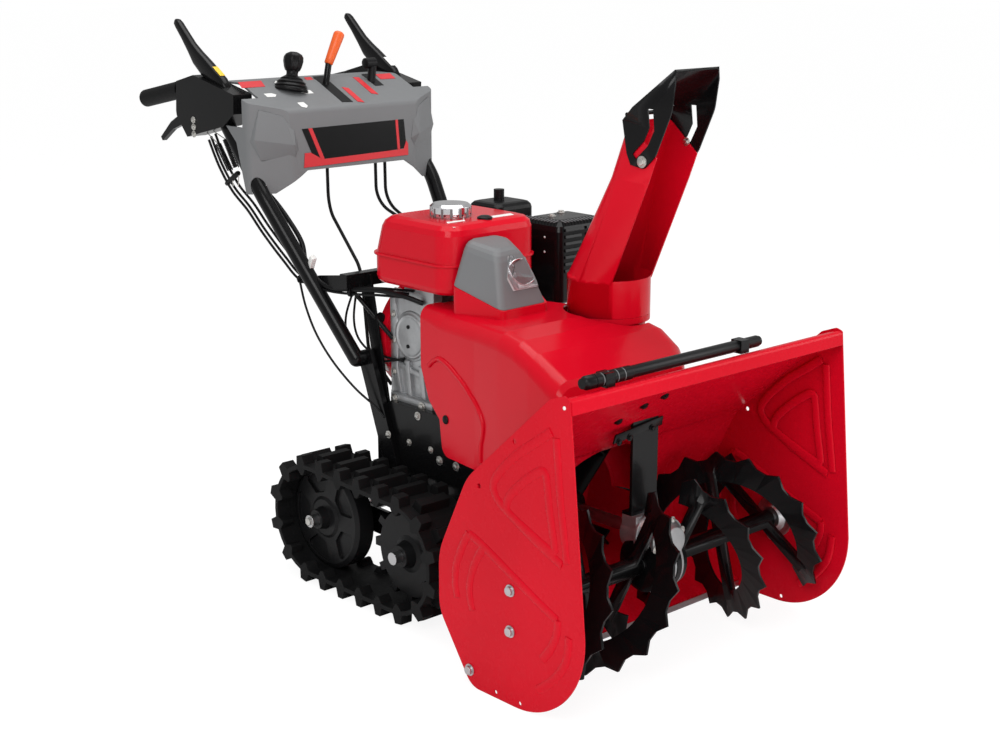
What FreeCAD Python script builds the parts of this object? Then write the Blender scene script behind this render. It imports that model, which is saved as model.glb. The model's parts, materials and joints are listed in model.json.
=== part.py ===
"""Tracked two-stage snow blower with a petrol engine, as a parametric FreeCAD document in millimetres.

The frame stands on the ground: z = 0 under the tracks, -Y is the machine's front, +Y the operator's end,
-X the machine's right side, and the origin is the middle of the machine's footprint box.
"""
import FreeCAD, Part
import Sketcher
import math
import os
import re
from FreeCAD import Placement, Rotation, Vector

# Driving dimensions: alias, value in millimetres or degrees, what it is.
DIMENSIONS = [
    ("machine_length", 1514, "intake plates' front to the handle grips' ends"),
    ("clearing_width", 725, "outside of one intake plate to the outside of the other"),
    ("fit_gap", 0.3, "gap between seated pieces that do not touch face to face"),
    ("running_gap", 0.05, "radial clearance of a shaft in its bearing"),
    # intake housing
    ("plate_thick", 3, "intake side plate"),
    ("plate_top", 577, "height of the side plates' top front corner"),
    ("plate_lean", 39, "how far the top front corner lies behind the plate's foremost line"),
    ("plate_depth", 365, "foremost line to the plate's rearmost line"),
    ("plate_foot", 279, "foremost line to the rear end of the plate's flat foot"),
    ("plate_front_round", 165, "rounding of the plate's lower front corner"),
    ("auger_setback", 177, "plate's foremost line to the auger axis"),
    ("auger_height", 175, "auger axis above the ground"),
    ("shell_thick", 3, "sheet of the housing shell"),
    ("shell_radius", 181, "inside radius of the shell round the augers"),
    ("shell_bend", 140, "bend radius between the shell's back and its sloping top"),
    ("shell_slope", 41.7, "slope of the shell's top, degrees"),
    ("shell_lip", 24, "height of the folded lip along the shell's front edge"),
    ("cutter_hole", 4.5, "radius of the drift cutter holes in the plates"),
    ("foot_hole", 4, "radius of the guide holes at the plate's foot"),
    ("foot_hole_pitch", 61.5, "distance between the two guide holes"),
    ("foot_hole_height", 10.6, "height of the guide holes"),
    ("bolt_radius", 8, "heads of the bolts through the side plates"),
    ("bolt_high", 7, "height of those heads"),
    ("washer_rim", 3, "how far a washer stands out round its head"),
    ("washer_thick", 2, "thickness of those washers"),
    ("foot_bolt_back", 105, "auger axis back to the bolts of the scraper bar"),
    ("foot_bolt_up", 31, "height of those bolts"),
    ("bearing_bolts", 37.5, "auger axis up or down to the bolts of its bearings"),
    ("scraper_thick", 5, "scraper bar"),
    # augers and impeller
    ("auger_tip", 165, "radius over the ribbon's teeth"),
    ("ribbon_outer", 150, "radius at the roots of the teeth"),
    ("ribbon_inner", 106, "inner radius of the ribbon"),
    ("ribbon_thick", 5, "ribbon thickness along the axis"),
    ("auger_end", 22.5, "outer end of an auger half to the side plate"),
    ("auger_inset", 44, "middle plane to the inner end of an auger half"),
    ("auger_shaft", 12.5, "radius of the auger shaft"),
    ("auger_sleeve", 18, "radius of the auger's sleeve"),
    ("spoke_wide", 24, "width of the pressed arms that carry the ribbons"),
    ("spoke_thick", 9, "thickness of the pressed arms"),
    ("impeller_height", 224, "impeller axis above the ground"),
    ("impeller_tip", 142, "impeller radius"),
    ("impeller_deep", 96, "depth of the impeller's blades"),
    ("blade_thick", 5, "impeller blade"),
    ("impeller_hub", 32, "radius of the impeller hub"),
    ("impeller_shaft", 12, "radius of the impeller shaft"),
    ("drum_radius", 153, "outside radius of the impeller drum"),
    ("drum_wall", 3, "sheet of the impeller drum"),
    ("drum_rear", 262, "rear face of the impeller drum, in front of the middle"),
    ("gear_case", 56, "radius of the worm wheel case"),
    ("gear_case_half", 30, "half the width of the worm wheel case"),
    ("worm_case", 37, "radius of the worm case"),
    ("worm_case_long", 104, "length of the worm case"),
    ("stay_wide", 68, "width of the gearbox stay"),
    ("stay_thick", 6, "gearbox stay"),
    ("bearing_radius", 42, "auger bearing flange"),
    ("bearing_deep", 16, "auger bearing flange"),
    # chute and deflector
    ("chute_across", 93, "chute axis, to the left of the middle"),
    ("chute_setback", 391, "plate's foremost line to the chute axis"),
    ("chute_foot", 600, "height of the turning joint under the chute"),
    ("chute_collar", 80, "outside radius of the chute's collar"),
    ("collar_high", 72, "height of the chute's collar"),
    ("chute_wall", 2.5, "sheet of the chute"),
    ("chute_half", 56, "half the width of the chute's channel"),
    ("chute_deep", 110, "depth of the chute's channel"),
    ("chute_round", 34, "rounding of the channel's rear corners"),
    ("chute_neck", 866, "height where the channel's sides become flat"),
    ("base_radius", 71, "outside radius of the fixed chute base"),
    ("deflector_thick", 3, "sheet of the deflector"),
    ("deflector_gap", 0.5, "gap between the deflector's cheeks and the channel"),
    ("hinge_setback", 300, "plate's foremost line to the deflector's hinge"),
    ("hinge_height", 984, "height of the deflector's hinge"),
    ("hinge_radius", 4, "radius of the deflector's hinge rod"),
    # undercarriage
    ("track_outside", 285, "middle plane to a track's outer edge"),
    ("track_wide", 125, "width of a track"),
    ("sprocket_setback", 160, "drive axle in front of the middle"),
    ("sprocket_height", 131.5, "drive axle above the ground"),
    ("idler_setback", 109, "idler axle behind the middle"),
    ("idler_height", 137.5, "idler axle above the ground"),
    ("sprocket_wrap", 104, "inside radius of the track round the sprocket"),
    ("idler_wrap", 110, "inside radius of the track round the idler"),
    ("belt_thick", 9, "carcass of the track"),
    ("lug_high", 18.5, "height of the track's lugs"),
    ("lug_count", 20, "lugs round one row of a track"),
    ("lug_edge", 27, "width of the outer rows of lugs"),
    ("cleat_high", 13, "height of the cleats inside the track"),
    ("lug_share", 0.42, "share of the pitch that a lug's foot takes"),
    ("wheel_wide", 40, "width of sprocket and idler"),
    ("wheel_web", 12, "web of sprocket and idler"),
    ("hub_radius", 30, "wheel hubs"),
    ("axle_radius", 12.5, "drive and idler axles"),
    ("hub_end", 284, "middle plane to the ends of the axles"),
    ("sprocket_disc", 88, "radius of the sprocket's disc"),
    ("rib_count", 5, "ribs on the idler wheel's outer face"),
    ("pocket_deep", 6, "hollows between the idler's ribs"),
    ("tooth_count", 12, "teeth of the sprocket"),
    ("tooth_wide", 17, "width of a sprocket tooth"),
    ("track_beam_high", 54, "height of the beam inside each track"),
    ("track_beam_thick", 8, "thickness of the beam inside each track"),
    # frame and handles
    ("frame_half", 140, "half the width of the frame"),
    ("frame_thick", 5, "frame plates"),
    ("frame_top", 385, "top of the frame"),
    ("frame_foot", 96, "lower edge of the frame's sides"),
    ("frame_lead", 16, "chute axis back to the frame's front end"),
    ("frame_rear", 60, "rear end of the frame, behind the middle"),
    ("handle_half", 228, "middle plane to the axis of a handle tube at the console"),
    ("handle_foot_half", 146.3, "middle plane to the middle of a handle's flattened leg"),
    ("handle_crown", 991, "height of the bend before the grip"),
    ("crown_setback", 212, "grips' ends back to the bend before the grip"),
    ("neck_high", 955, "height of the handle's upper bend"),
    ("knee_out", 26, "leg's plane out to the tube's middle at the knee"),
    ("bend_low", 200, "radius of the handle's lower bend"),
    ("bend_high", 90, "radius of the handle's upper bend"),
    ("bend_grip", 60, "radius of the bend before the grip"),
    ("neck_setback", 75, "bend before the grip back to the upper bend"),
    ("flare_high", 779, "height of the handle's lower bend"),
    ("flare_rear", 314, "handle's lower bend behind the middle"),
    ("knee_high", 466, "top of the handle's flattened leg"),
    ("knee_rear", 84, "top of the handle's leg behind the middle"),
    ("leg_thick", 12, "thickness of the handle's flattened leg"),
    ("handle_radius", 16, "handle tube"),
    ("grip_radius", 19, "handle grip"),
    ("grip_long", 150, "length of a handle grip"),
    ("grip_height", 950, "height of the grips' ends"),
    ("brace_height", 626, "height of the brace between the handles"),
    # engine
    ("crank_height", 498, "crankshaft above the ground"),
    ("block_half", 108, "half the width of the crankcase"),
    ("block_front", 120, "front of the crankcase, in front of the middle"),
    ("block_rear", 52, "rear of the crankcase, behind the middle"),
    ("block_top", 600, "top of the crankcase"),
    ("recoil_radius", 122, "recoil starter cover"),
    ("recoil_deep", 82, "depth of the recoil starter cover"),
    ("tank_right", 153, "middle plane to the fuel tank's right side"),
    ("tank_left", 88, "middle plane to the fuel tank's left side"),
    ("tank_front", 180, "fuel tank's front, in front of the middle"),
    ("tank_rear", 62, "fuel tank's rear, behind the middle"),
    ("tank_bottom", 628, "fuel tank's underside"),
    ("tank_top", 766, "fuel tank's top"),
    ("tank_seam", 688, "height of the fuel tank's seam"),
    ("tank_corner", 40, "rounding of the fuel tank's upright edges"),
    ("tank_taper", 26, "rear of the tank's top forward of its seam"),
    ("tank_round", 22, "rounding of the fuel tank"),
    ("cap_radius", 41, "fuel cap"),
    ("cap_high", 27, "height of the fuel cap"),
    ("cleaner_wide", 106, "air cleaner"),
    ("cleaner_deep", 96, "air cleaner"),
    ("cleaner_high", 130, "air cleaner"),
    ("cleaner_top", 768, "top of the air cleaner"),
    ("muffler_wide", 140, "muffler"),
    ("muffler_deep", 118, "muffler"),
    ("muffler_high", 170, "muffler"),
    ("muffler_top", 742, "top of the muffler"),
    # covers
    ("cover_thick", 4, "front cover's wall"),
    ("cover_round", 34, "rounding between the front cover's sides and its top"),
    ("cover_high", 605, "height of the front cover's top behind the chute"),
    ("cover_skirt", 324, "height of the front cover's lower right edge"),
    ("cowl_base_rear", 659, "height of the cowl's base at the fuel tank"),
    ("cowl_base_front", 621, "height of the cowl's base at its front"),
    ("cowl_high", 739, "height of the cowl's top at the fuel tank"),
    ("cowl_round", 14, "rounding of the cowl's edges"),
    ("cover_gap", 7, "clearance between the front cover and the turning chute"),
    ("cowl_front", 300, "headlight cowl's front, in front of the middle"),
    ("lens_high", 52, "headlight lens"),
    # console
    ("console_wall", 4, "wall of the console"),
    ("console_front", 290, "console's foremost line, behind the middle"),
    ("console_deep", 192, "console from front to rear"),
    ("console_top", 1003, "height of the console's rear edge"),
    ("console_brow", 952, "height of the edge between the console's top and front"),
    ("console_chin", 826, "height of the console's lower front edge"),
    ("paddle_thick", 22, "clutch paddle"),
    ("bracket_wide", 46, "width of the lever brackets"),
    ("stick_boot", 36, "radius of the joystick's boot"),
    ("stick_high", 66, "height of the joystick above the console"),
    ("lever_rod", 6, "radius of the levers' rods"),
    ("lever_grip", 11, "radius of the shift lever's grip"),
    ("cable_radius", 3.5, "control cables"),
    ("tool_radius", 9, "radius of the clearing tool's bar"),
    # lift strut
    ("strut_radius", 14, "gas strut's cylinder"),
    ("strut_rod", 6, "gas strut's rod"),
    ("strut_pin", 8, "pins of the gas strut"),
    ("strut_eye", 15, "outside radius of the gas strut's eyes"),
    ("strut_tube", 96, "length of the gas strut's cylinder"),
    ("strut_bore", 86, "depth of the cylinder's bore"),
    ("strut_drift", 1.5, "clearance of the rod's eye round its pin"),
]
SIZES = {alias: number for alias, number, note in DIMENSIONS}

doc = FreeCAD.newDocument("snow_blower")
sheet = doc.addObject("Spreadsheet::Sheet", "Sizes")
for row, (alias, number, note) in enumerate(DIMENSIONS, start=1):
    sheet.set(f"A{row}", alias)
    sheet.set(f"B{row}", str(number))
    sheet.set(f"C{row}", note)
    sheet.setAlias(f"B{row}", alias)
doc.recompute()

# Places that several pieces share, as expressions in the sheet's aliases.
FRONT = "(0 - machine_length / 2)"
REAR = "(machine_length / 2)"
SIDE = "(clearing_width / 2)"
PLATE_IN = "(clearing_width / 2 - plate_thick)"
AUGER_Y = f"({FRONT} + auger_setback)"
CHUTE_Y = f"({FRONT} + chute_setback)"
TRACK_IN = "(track_outside - track_wide)"
TRACK_MID = "(track_outside - track_wide / 2)"
FRAME_FRONT = f"({CHUTE_Y} + frame_lead)"
DRIVE = ("(0 - sprocket_setback)", "sprocket_height")
IDLER = ("idler_setback", "idler_height")
STRUT_TOP = ("(frame_rear - 26)", "(frame_top - 55)")
STRUT_FOOT = ("(idler_setback - 13)", "(idler_height + 35)")
COWL_REAR = "(0 - tank_front - 5 - fit_gap)"
COVER_CREST = "(tank_bottom + 12)"
HINGE_Y = f"({FRONT} + hinge_setback)"
AUGER_HALF = f"({PLATE_IN} - auger_inset - auger_end)"
CROWN_Y = f"({REAR} - crown_setback)"


# ---------------------------------------------------------------- helpers
def bind(text):
    """Turn the aliases in an expression into references to the sheet's cells."""
    return re.sub(r"[a-z_]{3,}", lambda m: "Sizes." + m.group() if m.group() in SIZES else m.group(), str(text))


def value(text):
    """The number that an expression in the sheet's aliases stands for."""
    return float(sheet.evalExpression(bind(text)))


def plane_of(body, role):
    return next(f for f in body.Origin.OriginFeatures if f.Role == role)


def new_sketch(body, name, role, shift):
    """A sketch on one of the body's own origin planes, moved by the expressions in shift."""
    sketch = body.newObject("Sketcher::SketchObject", name)
    sketch.AttachmentSupport = [(plane_of(body, role), "")]
    sketch.MapMode = "FlatFace"
    for axis, text in zip("xyz", shift):
        sketch.setExpression(f"AttachmentOffset.Base.{axis}", bind(text))
    return sketch


def draw_outline(sketch, corners):
    """Draw a closed outline whose corners' coordinates are all bound to the sheet."""
    spots = [Vector(value(a), value(b), 0) for a, b in corners]
    count = len(spots)
    for i in range(count):
        sketch.addGeometry(Part.LineSegment(spots[i], spots[(i + 1) % count]), False)
    for i in range(count):
        sketch.addConstraint(Sketcher.Constraint("Coincident", i, 2, (i + 1) % count, 1))
    for i, (across, up) in enumerate(corners):
        for kind, text in (("DistanceX", across), ("DistanceY", up)):
            index = sketch.addConstraint(Sketcher.Constraint(kind, -1, 1, i, 1, value(text)))
            sketch.setExpression(f"Constraints[{index}]", bind(text))


def draw_circles(sketch, circles):
    """Draw circles, each given by the expressions of its centre and radius."""
    for i, (across, up, radius) in enumerate(circles):
        sketch.addGeometry(Part.Circle(Vector(value(across), value(up), 0), Vector(0, 0, 1), value(radius)), False)
        for kind, text in (("DistanceX", across), ("DistanceY", up)):
            index = sketch.addConstraint(Sketcher.Constraint(kind, -1, 1, i, 3, value(text)))
            sketch.setExpression(f"Constraints[{index}]", bind(text))
        index = sketch.addConstraint(Sketcher.Constraint("Radius", i, value(radius)))
        sketch.setExpression(f"Constraints[{index}]", bind(radius))


def upright_edges(shape, role, across, up):
    """Names of the edges that stand on the sketch plane at one corner of the outline."""
    keep = {"XY_Plane": (0, 1), "XZ_Plane": (0, 2), "YZ_Plane": (1, 2)}[role]
    spot = (value(across), value(up))
    names = []
    for number, edge in enumerate(shape.Edges, start=1):
        ends = [vertex.Point for vertex in edge.Vertexes]
        if len(ends) == 2 and all(abs(end[keep[k]] - spot[k]) < 0.01 for end in ends for k in (0, 1)):
            names.append(f"Edge{number}")
    return names


def prism(name, role, start, depth, corners, rounds=(), holes=()):
    """Pad a closed outline away from start along the plane's row axis, round corners and drill holes."""
    body = doc.addObject("PartDesign::Body", name)
    shift = f"0 - ({start}) - ({depth})" if role == "XZ_Plane" else start
    sketch = new_sketch(body, name + "Outline", role, ("0", "0", shift))
    draw_outline(sketch, corners)
    pad = body.newObject("PartDesign::Pad", name + "Pad")
    pad.Profile = sketch
    pad.setExpression("Length", bind(depth))
    doc.recompute()
    tip = pad
    for number, (indexes, radius) in enumerate(rounds):
        edges = [edge for i in indexes for edge in upright_edges(tip.Shape, role, *corners[i])]
        fillet = body.newObject("PartDesign::Fillet", f"{name}Round{number}")
        fillet.Base = (tip, edges)
        fillet.setExpression("Radius", bind(radius))
        doc.recompute()
        tip = fillet
    if holes:
        circles = new_sketch(body, name + "Holes", role, ("0", "0", shift))
        draw_circles(circles, holes)
        pocket = body.newObject("PartDesign::Pocket", name + "Drill")
        pocket.Profile = circles
        pocket.Type = "ThroughAll"
        pocket.Reversed = True
        doc.recompute()
        if pocket.Shape.Volume >= tip.Shape.Volume:
            raise RuntimeError(f"the holes of {name} cut nothing")
    return body


def turned(name, along, centre, corners):
    """Revolve an outline of (place along the axis, radius) about an axis through centre."""
    body = doc.addObject("PartDesign::Body", name)
    first, second = centre
    if along == "X":
        sketch = new_sketch(body, name + "Profile", "XZ_Plane", ("0", second, f"0 - ({first})"))
    elif along == "Y":
        sketch = new_sketch(body, name + "Profile", "YZ_Plane", ("0", second, first))
    else:
        sketch = new_sketch(body, name + "Profile", "XZ_Plane", (first, "0", f"0 - ({second})"))
        corners = [(radius, height) for height, radius in corners]
    draw_outline(sketch, corners)
    turn = body.newObject("PartDesign::Revolution", name + "Turn")
    turn.Profile = sketch
    turn.ReferenceAxis = (sketch, ["V_Axis" if along == "Z" else "H_Axis"])
    turn.Angle = 360
    doc.recompute()
    return body


def block(name, low, extent):
    """A box from its lowest corner and its extents."""
    box = doc.addObject("Part::Box", name)
    for prop, text in zip(("Length", "Width", "Height"), extent):
        box.setExpression(prop, bind(text))
    for axis, text in zip("xyz", low):
        box.setExpression(f"Placement.Base.{axis}", bind(text))
    return box


TURN_TO = {"X": Rotation(Vector(0, 1, 0), 90), "Y": Rotation(Vector(1, 0, 0), -90), "Z": Rotation()}


def rod(name, along, start, radius, length):
    """A round bar that starts at a point and runs in the positive direction of a row axis."""
    bar = doc.addObject("Part::Cylinder", name)
    bar.Placement = Placement(Vector(), TURN_TO[along])
    bar.setExpression("Radius", bind(radius))
    bar.setExpression("Height", bind(length))
    for axis, text in zip("xyz", start):
        bar.setExpression(f"Placement.Base.{axis}", bind(text))
    return bar


def fuse(name, parts):
    joined = doc.addObject("Part::MultiFuse", name)
    joined.Shapes = parts
    joined.Refine = True
    return joined


def cut(name, base, tool):
    trimmed = doc.addObject("Part::Cut", name)
    trimmed.Base = base
    trimmed.Tool = tool
    return trimmed


def common(name, parts):
    shared = doc.addObject("Part::MultiCommon", name)
    shared.Shapes = parts
    return shared


def mirrored(name, source):
    twin = doc.addObject("Part::Mirroring", name)
    twin.Source = source
    twin.Normal = Vector(1, 0, 0)
    return twin


def shaped(name, shape):
    """A feature whose shape is worked out below from the sheet's values."""
    feature = doc.addObject("Part::Feature", name)
    feature.Shape = shape
    feature.Placement = Placement()
    return feature


NODES = {}


def node(name, item):
    item.Label = name
    NODES[name] = item
    return item


def pair(name, right):
    """A right-hand piece and its mirror image."""
    node(name + "_right", right)
    node(name + "_left", mirrored(name.title().replace("_", "") + "Left", right))


# ---------------------------------------------------------------- shapes from Part's own functions
def rounded_wire(points, radii):
    """Straight runs through points, with an arc of its own radius at each inner point."""
    edges = []
    last = points[0]
    for before, corner, after, radius in zip(points, points[1:], points[2:], radii):
        back = (before - corner).normalize()
        ahead = (after - corner).normalize()
        half = back.getAngle(ahead) / 2
        reach = radius / math.tan(half)
        start = corner + back * reach
        end = corner + ahead * reach
        middle = corner + (back + ahead).normalize() * (radius / math.sin(half) - radius)
        if (start - last).Length > 1e-6:
            edges.append(Part.LineSegment(last, start).toShape())
        edges.append(Part.Arc(start, middle, end).toShape())
        last = end
    edges.append(Part.LineSegment(last, points[-1]).toShape())
    return edges


def level(corners, radius):
    """A closed outline through corners in one plane, each rounded by radius."""
    middle = (corners[0] + corners[-1]) * 0.5
    return Part.Wire(rounded_wire([middle] + corners + [middle], [radius] * len(corners)))


def tower(name, levels):
    """A solid through outlines one behind or above the other."""
    solid = Part.makeLoft(levels, True, True)
    if solid.Volume < 0:
        solid.reverse()
    return shaped(name, solid)


def crown_levels(low, high, foot, top):
    """Heights and insets of a body whose lower edge is rounded by foot and whose upper edge by top."""
    turns = [math.radians(a) for a in (90, 60, 30, 0)]
    rise = [(low + foot * (1 - math.sin(t)), foot * (1 - math.cos(t))) for t in turns]
    fall = [(high - top * (1 - math.sin(t)), top * (1 - math.cos(t))) for t in turns[::-1]]
    return rise + fall


def rounded_box(name, box, corner, foot, top, taper=0):
    """A box with rounded edges; its high Y side leans in by taper up to its top."""
    low_x, high_x, low_y, high_y, low_z, high_z = box
    levels = []
    for height, inset in crown_levels(low_z, high_z, foot, top):
        lean = taper * (height - low_z) / (high_z - low_z)
        corners = [Vector(low_x + inset, low_y + inset, height), Vector(high_x - inset, low_y + inset, height),
                   Vector(high_x - inset, high_y - inset - lean, height),
                   Vector(low_x + inset, high_y - inset - lean, height)]
        levels.append(level(corners, corner - inset / 2))
    return tower(name, levels)


def shifted(points, distance):
    """The polyline moved sideways by distance, to the left of its run, in the YZ plane."""
    runs = [(b - a).normalize() for a, b in zip(points, points[1:])]
    sides = [Vector(0, -run.z, run.y) for run in runs]
    moved = [points[0] + sides[0] * distance]
    for corner, one, two in zip(points[1:], sides, sides[1:]):
        bisector = (one + two).normalize()
        moved.append(corner + bisector * (distance / bisector.dot(one)))
    moved.append(points[-1] + sides[-1] * distance)
    return moved


def tube(points, radius, bend):
    """A round bar along straight runs joined by tangent arcs."""
    radii = [bend] * (len(points) - 2) if isinstance(bend, (int, float)) else bend
    path = Part.Wire(rounded_wire(points, radii))
    ahead = (points[1] - points[0]).normalize()
    section = Part.Wire(Part.makeCircle(radius, points[0], ahead))
    return path.makePipeShell([section], True, True)


def faceted(rings, closed=False):
    """A solid through equal rings of points, skinned with flat triangles and capped at its ends."""
    faces = []
    steps = list(zip(rings, rings[1:]))
    if closed:
        steps.append((rings[-1], rings[0]))
    for one, two in steps:
        for i in range(len(one)):
            j = (i + 1) % len(one)
            faces.append(Part.Face(Part.makePolygon([one[i], one[j], two[j], one[i]])))
            faces.append(Part.Face(Part.makePolygon([one[i], two[j], two[i], one[i]])))
    if not closed:
        for ring in (rings[0], rings[-1]):
            faces.append(Part.Face(Part.makePolygon(ring + [ring[0]])))
    solid = Part.makeSolid(Part.makeShell(faces))
    if solid.Volume < 0:
        solid.reverse()
    return solid


def on_circle(centre, radius, degrees):
    """A point of a circle across X; 0 degrees is to the rear and 90 degrees is up."""
    angle = math.radians(degrees)
    return Vector(centre.x, centre.y + radius * math.cos(angle), centre.z + radius * math.sin(angle))


# ---------------------------------------------------------------- intake housing
def shell_runs():
    """The shell's inner surface in section, from its lower edge round the back to the front lip."""
    axis = Vector(0, value(AUGER_Y), value("auger_height"))
    radius = value("shell_radius")
    low, high = -62, 25
    start = on_circle(axis, radius, low)
    wrap = on_circle(axis, radius / math.cos(math.radians((high - low) / 2)), (low + high) / 2)
    rise = Vector(0, -math.sin(math.radians(high)), math.cos(math.radians(high)))
    slope = math.radians(value("shell_slope"))
    along_top = Vector(0, -math.cos(slope), math.sin(slope))
    lip = Vector(0, value(f"{FRONT} + plate_lean") + 16, value("plate_top") - 4)
    leave = on_circle(axis, radius, high)
    # where the steep back meets the line of the sloping top
    across = lip - leave
    reach = (across.y * along_top.z - across.z * along_top.y) / (rise.y * along_top.z - rise.z * along_top.y)
    shoulder = leave + rise * reach
    fold = lip + Vector(0, -14, 2)
    hem = fold + Vector(0, -3, -value("shell_lip"))
    radii = [radius, value("shell_bend"), 10, 5]
    right_end = Vector(-value(PLATE_IN), 0, 0)
    return [point + right_end for point in (start, wrap, shoulder, lip, fold, hem)], radii


def shell_region(thickness):
    """The space inside the shell, or inside its outer surface, closed towards the front."""
    points, radii = shell_runs()
    outer = shifted(points, -thickness)
    turns = [radii[0] + thickness, radii[1] + thickness, radii[2] + thickness, radii[3] + thickness]
    edges = rounded_wire(outer, turns)
    closing = Part.LineSegment(outer[-1], outer[0]).toShape()
    return Part.Face(Part.Wire(edges + [closing])).extrude(Vector(2 * value(PLATE_IN), 0, 0))


def shell_sheet():
    points, radii = shell_runs()
    thick = value("shell_thick")
    outer = shifted(points, -thick)
    inner_edges = rounded_wire(points, radii)
    outer_edges = rounded_wire(outer, [radius + thick for radius in radii])
    ends = [Part.LineSegment(points[0], outer[0]).toShape(), Part.LineSegment(points[-1], outer[-1]).toShape()]
    wire = Part.Wire(Part.__sortEdges__(inner_edges + outer_edges + ends))
    return Part.Face(wire).extrude(Vector(2 * value(PLATE_IN), 0, 0))


def make_housing():
    corners = [
        (f"{FRONT} + plate_lean", "plate_top"),
        (FRONT, "auger_height"),
        (FRONT, "0"),
        (f"{FRONT} + plate_foot", "0"),
        (f"{FRONT} + plate_depth", "auger_height - 52"),
        (f"{FRONT} + plate_depth", "auger_height + 57"),
        (f"{FRONT} + plate_depth - 76", "plate_top - 189"),
        (f"{FRONT} + plate_depth - 280", "plate_top - 7"),
        (f"{FRONT} + plate_lean + 14", "plate_top + 5"),
    ]
    holes = [
        (f"{AUGER_Y} - 9", "plate_top - 97", "cutter_hole"),
        (f"{AUGER_Y} + 80", "plate_top - 196", "cutter_hole"),
        (f"{AUGER_Y} + 7 - foot_hole_pitch / 2", "foot_hole_height", "foot_hole"),
        (f"{AUGER_Y} + 7 + foot_hole_pitch / 2", "foot_hole_height", "foot_hole"),
    ]
    rounds = [((2,), "plate_front_round"), ((3,), "40"), ((4,), "70"), ((5, 6), "120"), ((7, 8), "12"), ((0,), "4")]
    pair("side_plate", prism("SidePlate", "YZ_Plane", f"0 - {SIDE}", "plate_thick", corners, rounds, holes))
    bore = rod("DrumBore", "Y", ("0", f"{CHUTE_Y} - 110", "impeller_height"), "drum_radius - drum_wall", "250")
    sheet_metal = shaped("ShellSheet", shell_sheet())
    passage = rod("ChutePassage", "Z", ("chute_across", CHUTE_Y, "impeller_height"),
                  "base_radius - chute_wall", "chute_foot")
    openings = fuse("ShellOpenings", [bore, passage])
    node("housing_shell", cut("HousingShell", sheet_metal, openings))
    region = shaped("ShellRegion", shell_region(value("shell_thick")))
    return region


def make_scraper():
    """The bar bolted behind the shell's lower edge."""
    points, radii = shell_runs()
    edge = points[0]
    bar = block("ScraperBar", (f"0 - {PLATE_IN}", str(round(edge.y, 3)), "0.5"),
                (f"2 * {PLATE_IN}", "scraper_thick", "12"))
    doc.recompute()
    heads = bolt_heads("ScraperBolt", [(f"{AUGER_Y} + foot_bolt_back", "foot_bolt_up")], "bolt_radius")
    far = [head.mirror(Vector(), Vector(1, 0, 0)) for head in heads]
    node("scraper_bar", shaped("ScraperSet", Part.makeCompound([bar.Shape] + heads + far)))


def make_drum(region):
    """Impeller drum behind the housing, with the fixed base of the chute on its top."""
    front = f"{FRONT} + 250"
    outside = rod("DrumOutside", "Y", ("0", front, "impeller_height"), "drum_radius", f"0 - drum_rear - ({front})")
    inside = rod("DrumInside", "Y", ("0", front, "impeller_height"), "drum_radius - drum_wall",
                 f"0 - drum_rear - drum_wall - ({front})")
    ring = cut("DrumRing", outside, inside)
    behind = cut("DrumBehind", ring, region)
    passage = rod("DrumPassage", "Z", ("chute_across", CHUTE_Y, "impeller_height"),
                  "base_radius - chute_wall", "chute_foot")
    bearing = rod("DrumBearing", "Y", ("0", "0 - drum_rear - 30", "impeller_height"),
                  "impeller_shaft + running_gap", "60")
    openings = fuse("DrumOpenings", [passage, bearing])
    node("impeller_drum", cut("ImpellerDrum", behind, openings))

    wall = rod("BaseOutside", "Z", ("chute_across", CHUTE_Y, "impeller_height"), "base_radius",
               "chute_foot - impeller_height - fit_gap")
    flange = rod("BaseFlange", "Z", ("chute_across", CHUTE_Y, "chute_foot - 12 - fit_gap"), "chute_collar", "12")
    inner = rod("BaseInside", "Z", ("chute_across", CHUTE_Y, "impeller_height - 10"), "base_radius - chute_wall",
                "chute_foot")
    drum_space = rod("BaseDrumSpace", "Y", ("0", front, "impeller_height"), "drum_radius",
                     f"0 - drum_rear - ({front})")
    tools = fuse("BaseTools", [inner, drum_space, region])
    node("chute_base", cut("ChuteBase", fuse("BaseBody", [wall, flange]), tools))


# ---------------------------------------------------------------- augers, impeller and gearbox
RIBBON_TURNS = 0.86


def auger_ribbon(side, phase):
    """One saw-toothed ribbon of an auger half, wound so that it feeds towards the middle."""
    axis = Vector(0, value(AUGER_Y), value("auger_height"))
    inset = value("auger_inset")
    length = value(AUGER_HALF) - value("ribbon_thick")
    thick = value("ribbon_thick")
    teeth, sub = 14, 3
    steps = teeth * sub
    rings = []
    for i in range(steps + 1):
        share = i / steps
        degrees = phase + 360 * RIBBON_TURNS * share
        tip = value("auger_tip") if i % sub == 1 else value("ribbon_outer")
        near = side * (inset + length * share)
        far = side * (inset + length * share + thick)
        low = on_circle(axis, value("ribbon_inner"), degrees)
        high = on_circle(axis, tip, degrees)
        rings.append([Vector(near, low.y, low.z), Vector(near, high.y, high.z),
                      Vector(far, high.y, high.z), Vector(far, low.y, low.z)])
    return faceted(rings)


def auger_spokes(side, phase):
    """Pressed arms from the sleeve to the ribbon at its ends and middle."""
    axis = Vector(0, value(AUGER_Y), value("auger_height"))
    length = value(AUGER_HALF) - value("ribbon_thick")
    wide, thick = value("spoke_wide"), value("spoke_thick")
    spokes = []
    for share in (0.05, 0.5, 0.95):
        degrees = phase + 360 * RIBBON_TURNS * share
        across = side * (value("auger_inset") + length * share + value("ribbon_thick") / 2)
        arm = Part.makeBox(thick, value("ribbon_inner") + 20, wide, Vector(across - thick / 2, 0, -wide / 2))
        arm.rotate(Vector(), Vector(1, 0, 0), degrees)
        arm.translate(axis)
        spokes.append(arm)
    return spokes


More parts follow.
